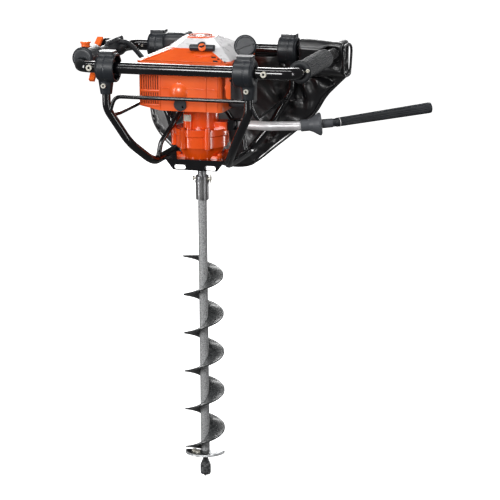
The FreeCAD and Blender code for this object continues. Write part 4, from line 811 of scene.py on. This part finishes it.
def on_front_slope(x, s, lift=0.0):
    """Point on the cover's front slope: s from 0 at its foot to 1 at its top edge."""
    y = -0.119 + 0.037 * s
    z = 0.9641 + 0.0239 * s
    return Vector((x, y, z)) + FRONT_SLOPE * lift


def front_slope_trim():
    pieces = []
    # rope guide under the grip
    outline = []
    for k in range(28):
        angle = 2 * math.pi * k / 28
        across = 0.022 * math.copysign(abs(math.cos(angle)) ** 0.6, math.cos(angle))
        along = 0.20 * math.copysign(abs(math.sin(angle)) ** 0.8, math.sin(angle))
        outline.append(on_front_slope(0.037 + across, 0.62 + along, -0.0004))
    guide = slab("rope_guide", outline, 0.0024, 0.0008)
    pieces.append((guide, "orange_plastic"))
    # stepped air slots at the right end of the slope, drawn as thin dark plates of painted
    # shade
    for k, (x, s) in enumerate(((0.063, 0.42), (0.078, 0.30), (0.070, 0.14), (0.088, 0.10))):
        half = 0.0055
        corners = [on_front_slope(x - half, s - 0.05, -0.0004),
                   on_front_slope(x + half, s - 0.05, -0.0004),
                   on_front_slope(x + half - 0.002, s + 0.06, -0.0004),
                   on_front_slope(x - half - 0.001, s + 0.06, -0.0004)]
        pieces.append((slab("cover_slot_%d" % k, corners, 0.0007, 0.0002), "painted_shade_recess"))
    # raised border round the front panel
    border = [on_front_slope(-0.092, 0.03, 0.0004), on_front_slope(-0.034, 0.97, 0.0004),
              on_front_slope(0.046, 0.97, 0.0004), on_front_slope(0.090, 0.03, 0.0004)]
    for k, (a, b) in enumerate(zip(border, border[1:] + border[:1])):
        along = (b - a).normalized()
        across = along.cross(FRONT_SLOPE) * 0.0011
        corners = [a - across, b - across, b + across, a + across]
        pieces.append((slab("panel_border_%d" % k, corners, -0.0012, 0.0004), "orange_plastic"))
    for piece, material in pieces:
        dress(piece, material)
        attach(piece, "machine")


cover_trim()
front_slope_trim()


# --------------------------------------------------------------------------- shroud details
def shroud_trim():
    front = -0.118
    pieces = []

    def strip(name, x0, x1, z0, z1, thick=0.0011, material="orange_plastic"):
        corners = [(x0, front + 0.0006, z0), (x1, front + 0.0006, z0),
                   (x1, front + 0.0006, z1), (x0, front + 0.0006, z1)]
        pieces.append((slab(name, corners, thick + 0.0006, 0.0005), material))

    # mould lines: a vertical rib each side of the middle, a ledge along the foot of the grille
    strip("shroud_rib_left", -0.0565, -0.0535, 0.8600, 0.9575)
    strip("shroud_rib_right", 0.0480, 0.0500, 0.8600, 0.9575)
    strip("shroud_rib_end", 0.0735, 0.0750, 0.8600, 0.9575)
    strip("shroud_ledge", -0.0500, 0.0735, 0.9060, 0.9072, 0.0008)
    strip("shroud_grille_rail", -0.0980, -0.0565, 0.8972, 0.9008, 0.0012)
    strip("shroud_grille_foot", -0.0980, -0.0565, 0.8665, 0.8695, 0.0012)
    strip("shroud_top_lip", -0.0950, 0.0750, 0.9535, 0.9565, 0.0012)
    for piece, material in pieces:
        dress(piece, material)
        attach(piece, "machine")

    # notched cheek that joins the shroud to the tank
    outline = [(0.0840, 0.9420), (0.1030, 0.9420), (0.1030, 0.9300), (0.1000, 0.9270),
               (0.1030, 0.9235), (0.1030, 0.8860), (0.0960, 0.8860), (0.0920, 0.8925),
               (0.0920, 0.9060), (0.0895, 0.9120), (0.0920, 0.9180), (0.0920, 0.9370),
               (0.0840, 0.9370)]
    cheek = slab("shroud_cheek", [(x, -0.1155, z) for x, z in outline], 0.0028, 0.0006)
    dress(cheek, "orange_plastic")
    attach(cheek, "machine")

    # round orange badge on the front of the starter grip
    facing = Vector((0.28, -0.93, 0.24)).normalized()
    centre = Vector((0.033, -0.0911, 0.9923)) + facing * 0.0078
    badge = lathe("grip_badge", centre, facing,
                  [(-0.004, 0.0084), (0.0014, 0.0083), (0.0022, 0.0076), (0.0026, 0.0062),
                   (0.0021, 0.0052), (0.0027, 0.0040), (0.0030, 0.0020), (0.0030, 0.0003),
                   (-0.004, 0.0003)], 48)
    dress(badge, "control_orange")
    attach(badge, "pull_grip")

    # orange wall behind the air slots, painted dark orange as shade
    back = slab("louvre_shade_back", [(-0.0995, -0.1152, 0.8680), (-0.0500, -0.1152, 0.8680),
                                (-0.0500, -0.1152, 0.9470), (-0.0995, -0.1152, 0.9470)],
                -0.0010, 0.0003)
    dress(back, "painted_shade_orange")
    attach(back, "machine")


shroud_trim()


# --------------------------------------------------------------------------- floor and light
def stage():
    material = bpy.data.materials.new("pale_floor")
    material.use_nodes = True
    main = material.node_tree.nodes["Principled BSDF"]
    main.inputs["Base Color"].default_value = (0.8, 0.8, 0.8, 1)
    main.inputs["Roughness"].default_value = 0.95
    main.inputs["Specular IOR Level"].default_value = 0.0
    main.inputs["Emission Color"].default_value = (1, 1, 1, 1)
    main.inputs["Emission Strength"].default_value = 1.0
    half = 60
    floor = mesh_object("floor", [(-half, -half, -0.002), (half, -half, -0.002),
                                  (half, half, -0.002), (-half, half, -0.002)], [(0, 1, 2, 3)])
    floor.data.materials.append(material)
    # the floor lights nothing and shows in nothing, so dark gloss stays dark beneath
    floor.visible_glossy = False
    floor.visible_diffuse = False

    world = bpy.data.worlds.new("studio")
    bpy.context.scene.world = world
    world.use_nodes = True
    background = world.node_tree.nodes["Background"]
    background.inputs["Color"].default_value = (1, 1, 1, 1)
    background.inputs["Strength"].default_value = 0.10

    def softbox(name, place, target, size, radiance):
        """Rectangular light; radiance is how bright its face looks."""
        light = bpy.data.lights.new(name, "AREA")
        light.shape = "RECTANGLE"
        light.size, light.size_y = size
        light.energy = radiance * math.pi * size[0] * size[1]
        lamp = bpy.data.objects.new(name, light)
        lamp.location = place
        lamp.rotation_euler = (Vector(target) - Vector(place)).to_track_quat(
            "-Z", "Y").to_euler()
        lamp.visible_camera = False
        bpy.context.scene.collection.objects.link(lamp)

    middle = (0, 0, 0.85)
    softbox("top_strip", (0.1, -0.80, 3.1), middle, (3.0, 0.14), 24)
    softbox("left_strip", (-2.5, -2.2, 1.15), (0, 0, 1.0), (0.34, 2.2), 17)
    softbox("right_strip", (2.9, -1.6, 1.15), (0, 0, 1.0), (0.30, 2.2), 10)
    softbox("front_box", (-0.5, -3.9, 2.0), middle, (1.6, 1.1), 19)
    softbox("back_box", (-0.4, 2.6, 2.8), middle, (2.4, 0.5), 8)
    softbox("rear_box", (-1.4, 3.6, 1.9), middle, (1.8, 1.2), 11)
    softbox("rear_strip", (2.4, 2.6, 1.15), (0, 0, 0.9), (0.4, 2.2), 12)
    bpy.context.scene.view_settings.view_transform = "Standard"


stage()
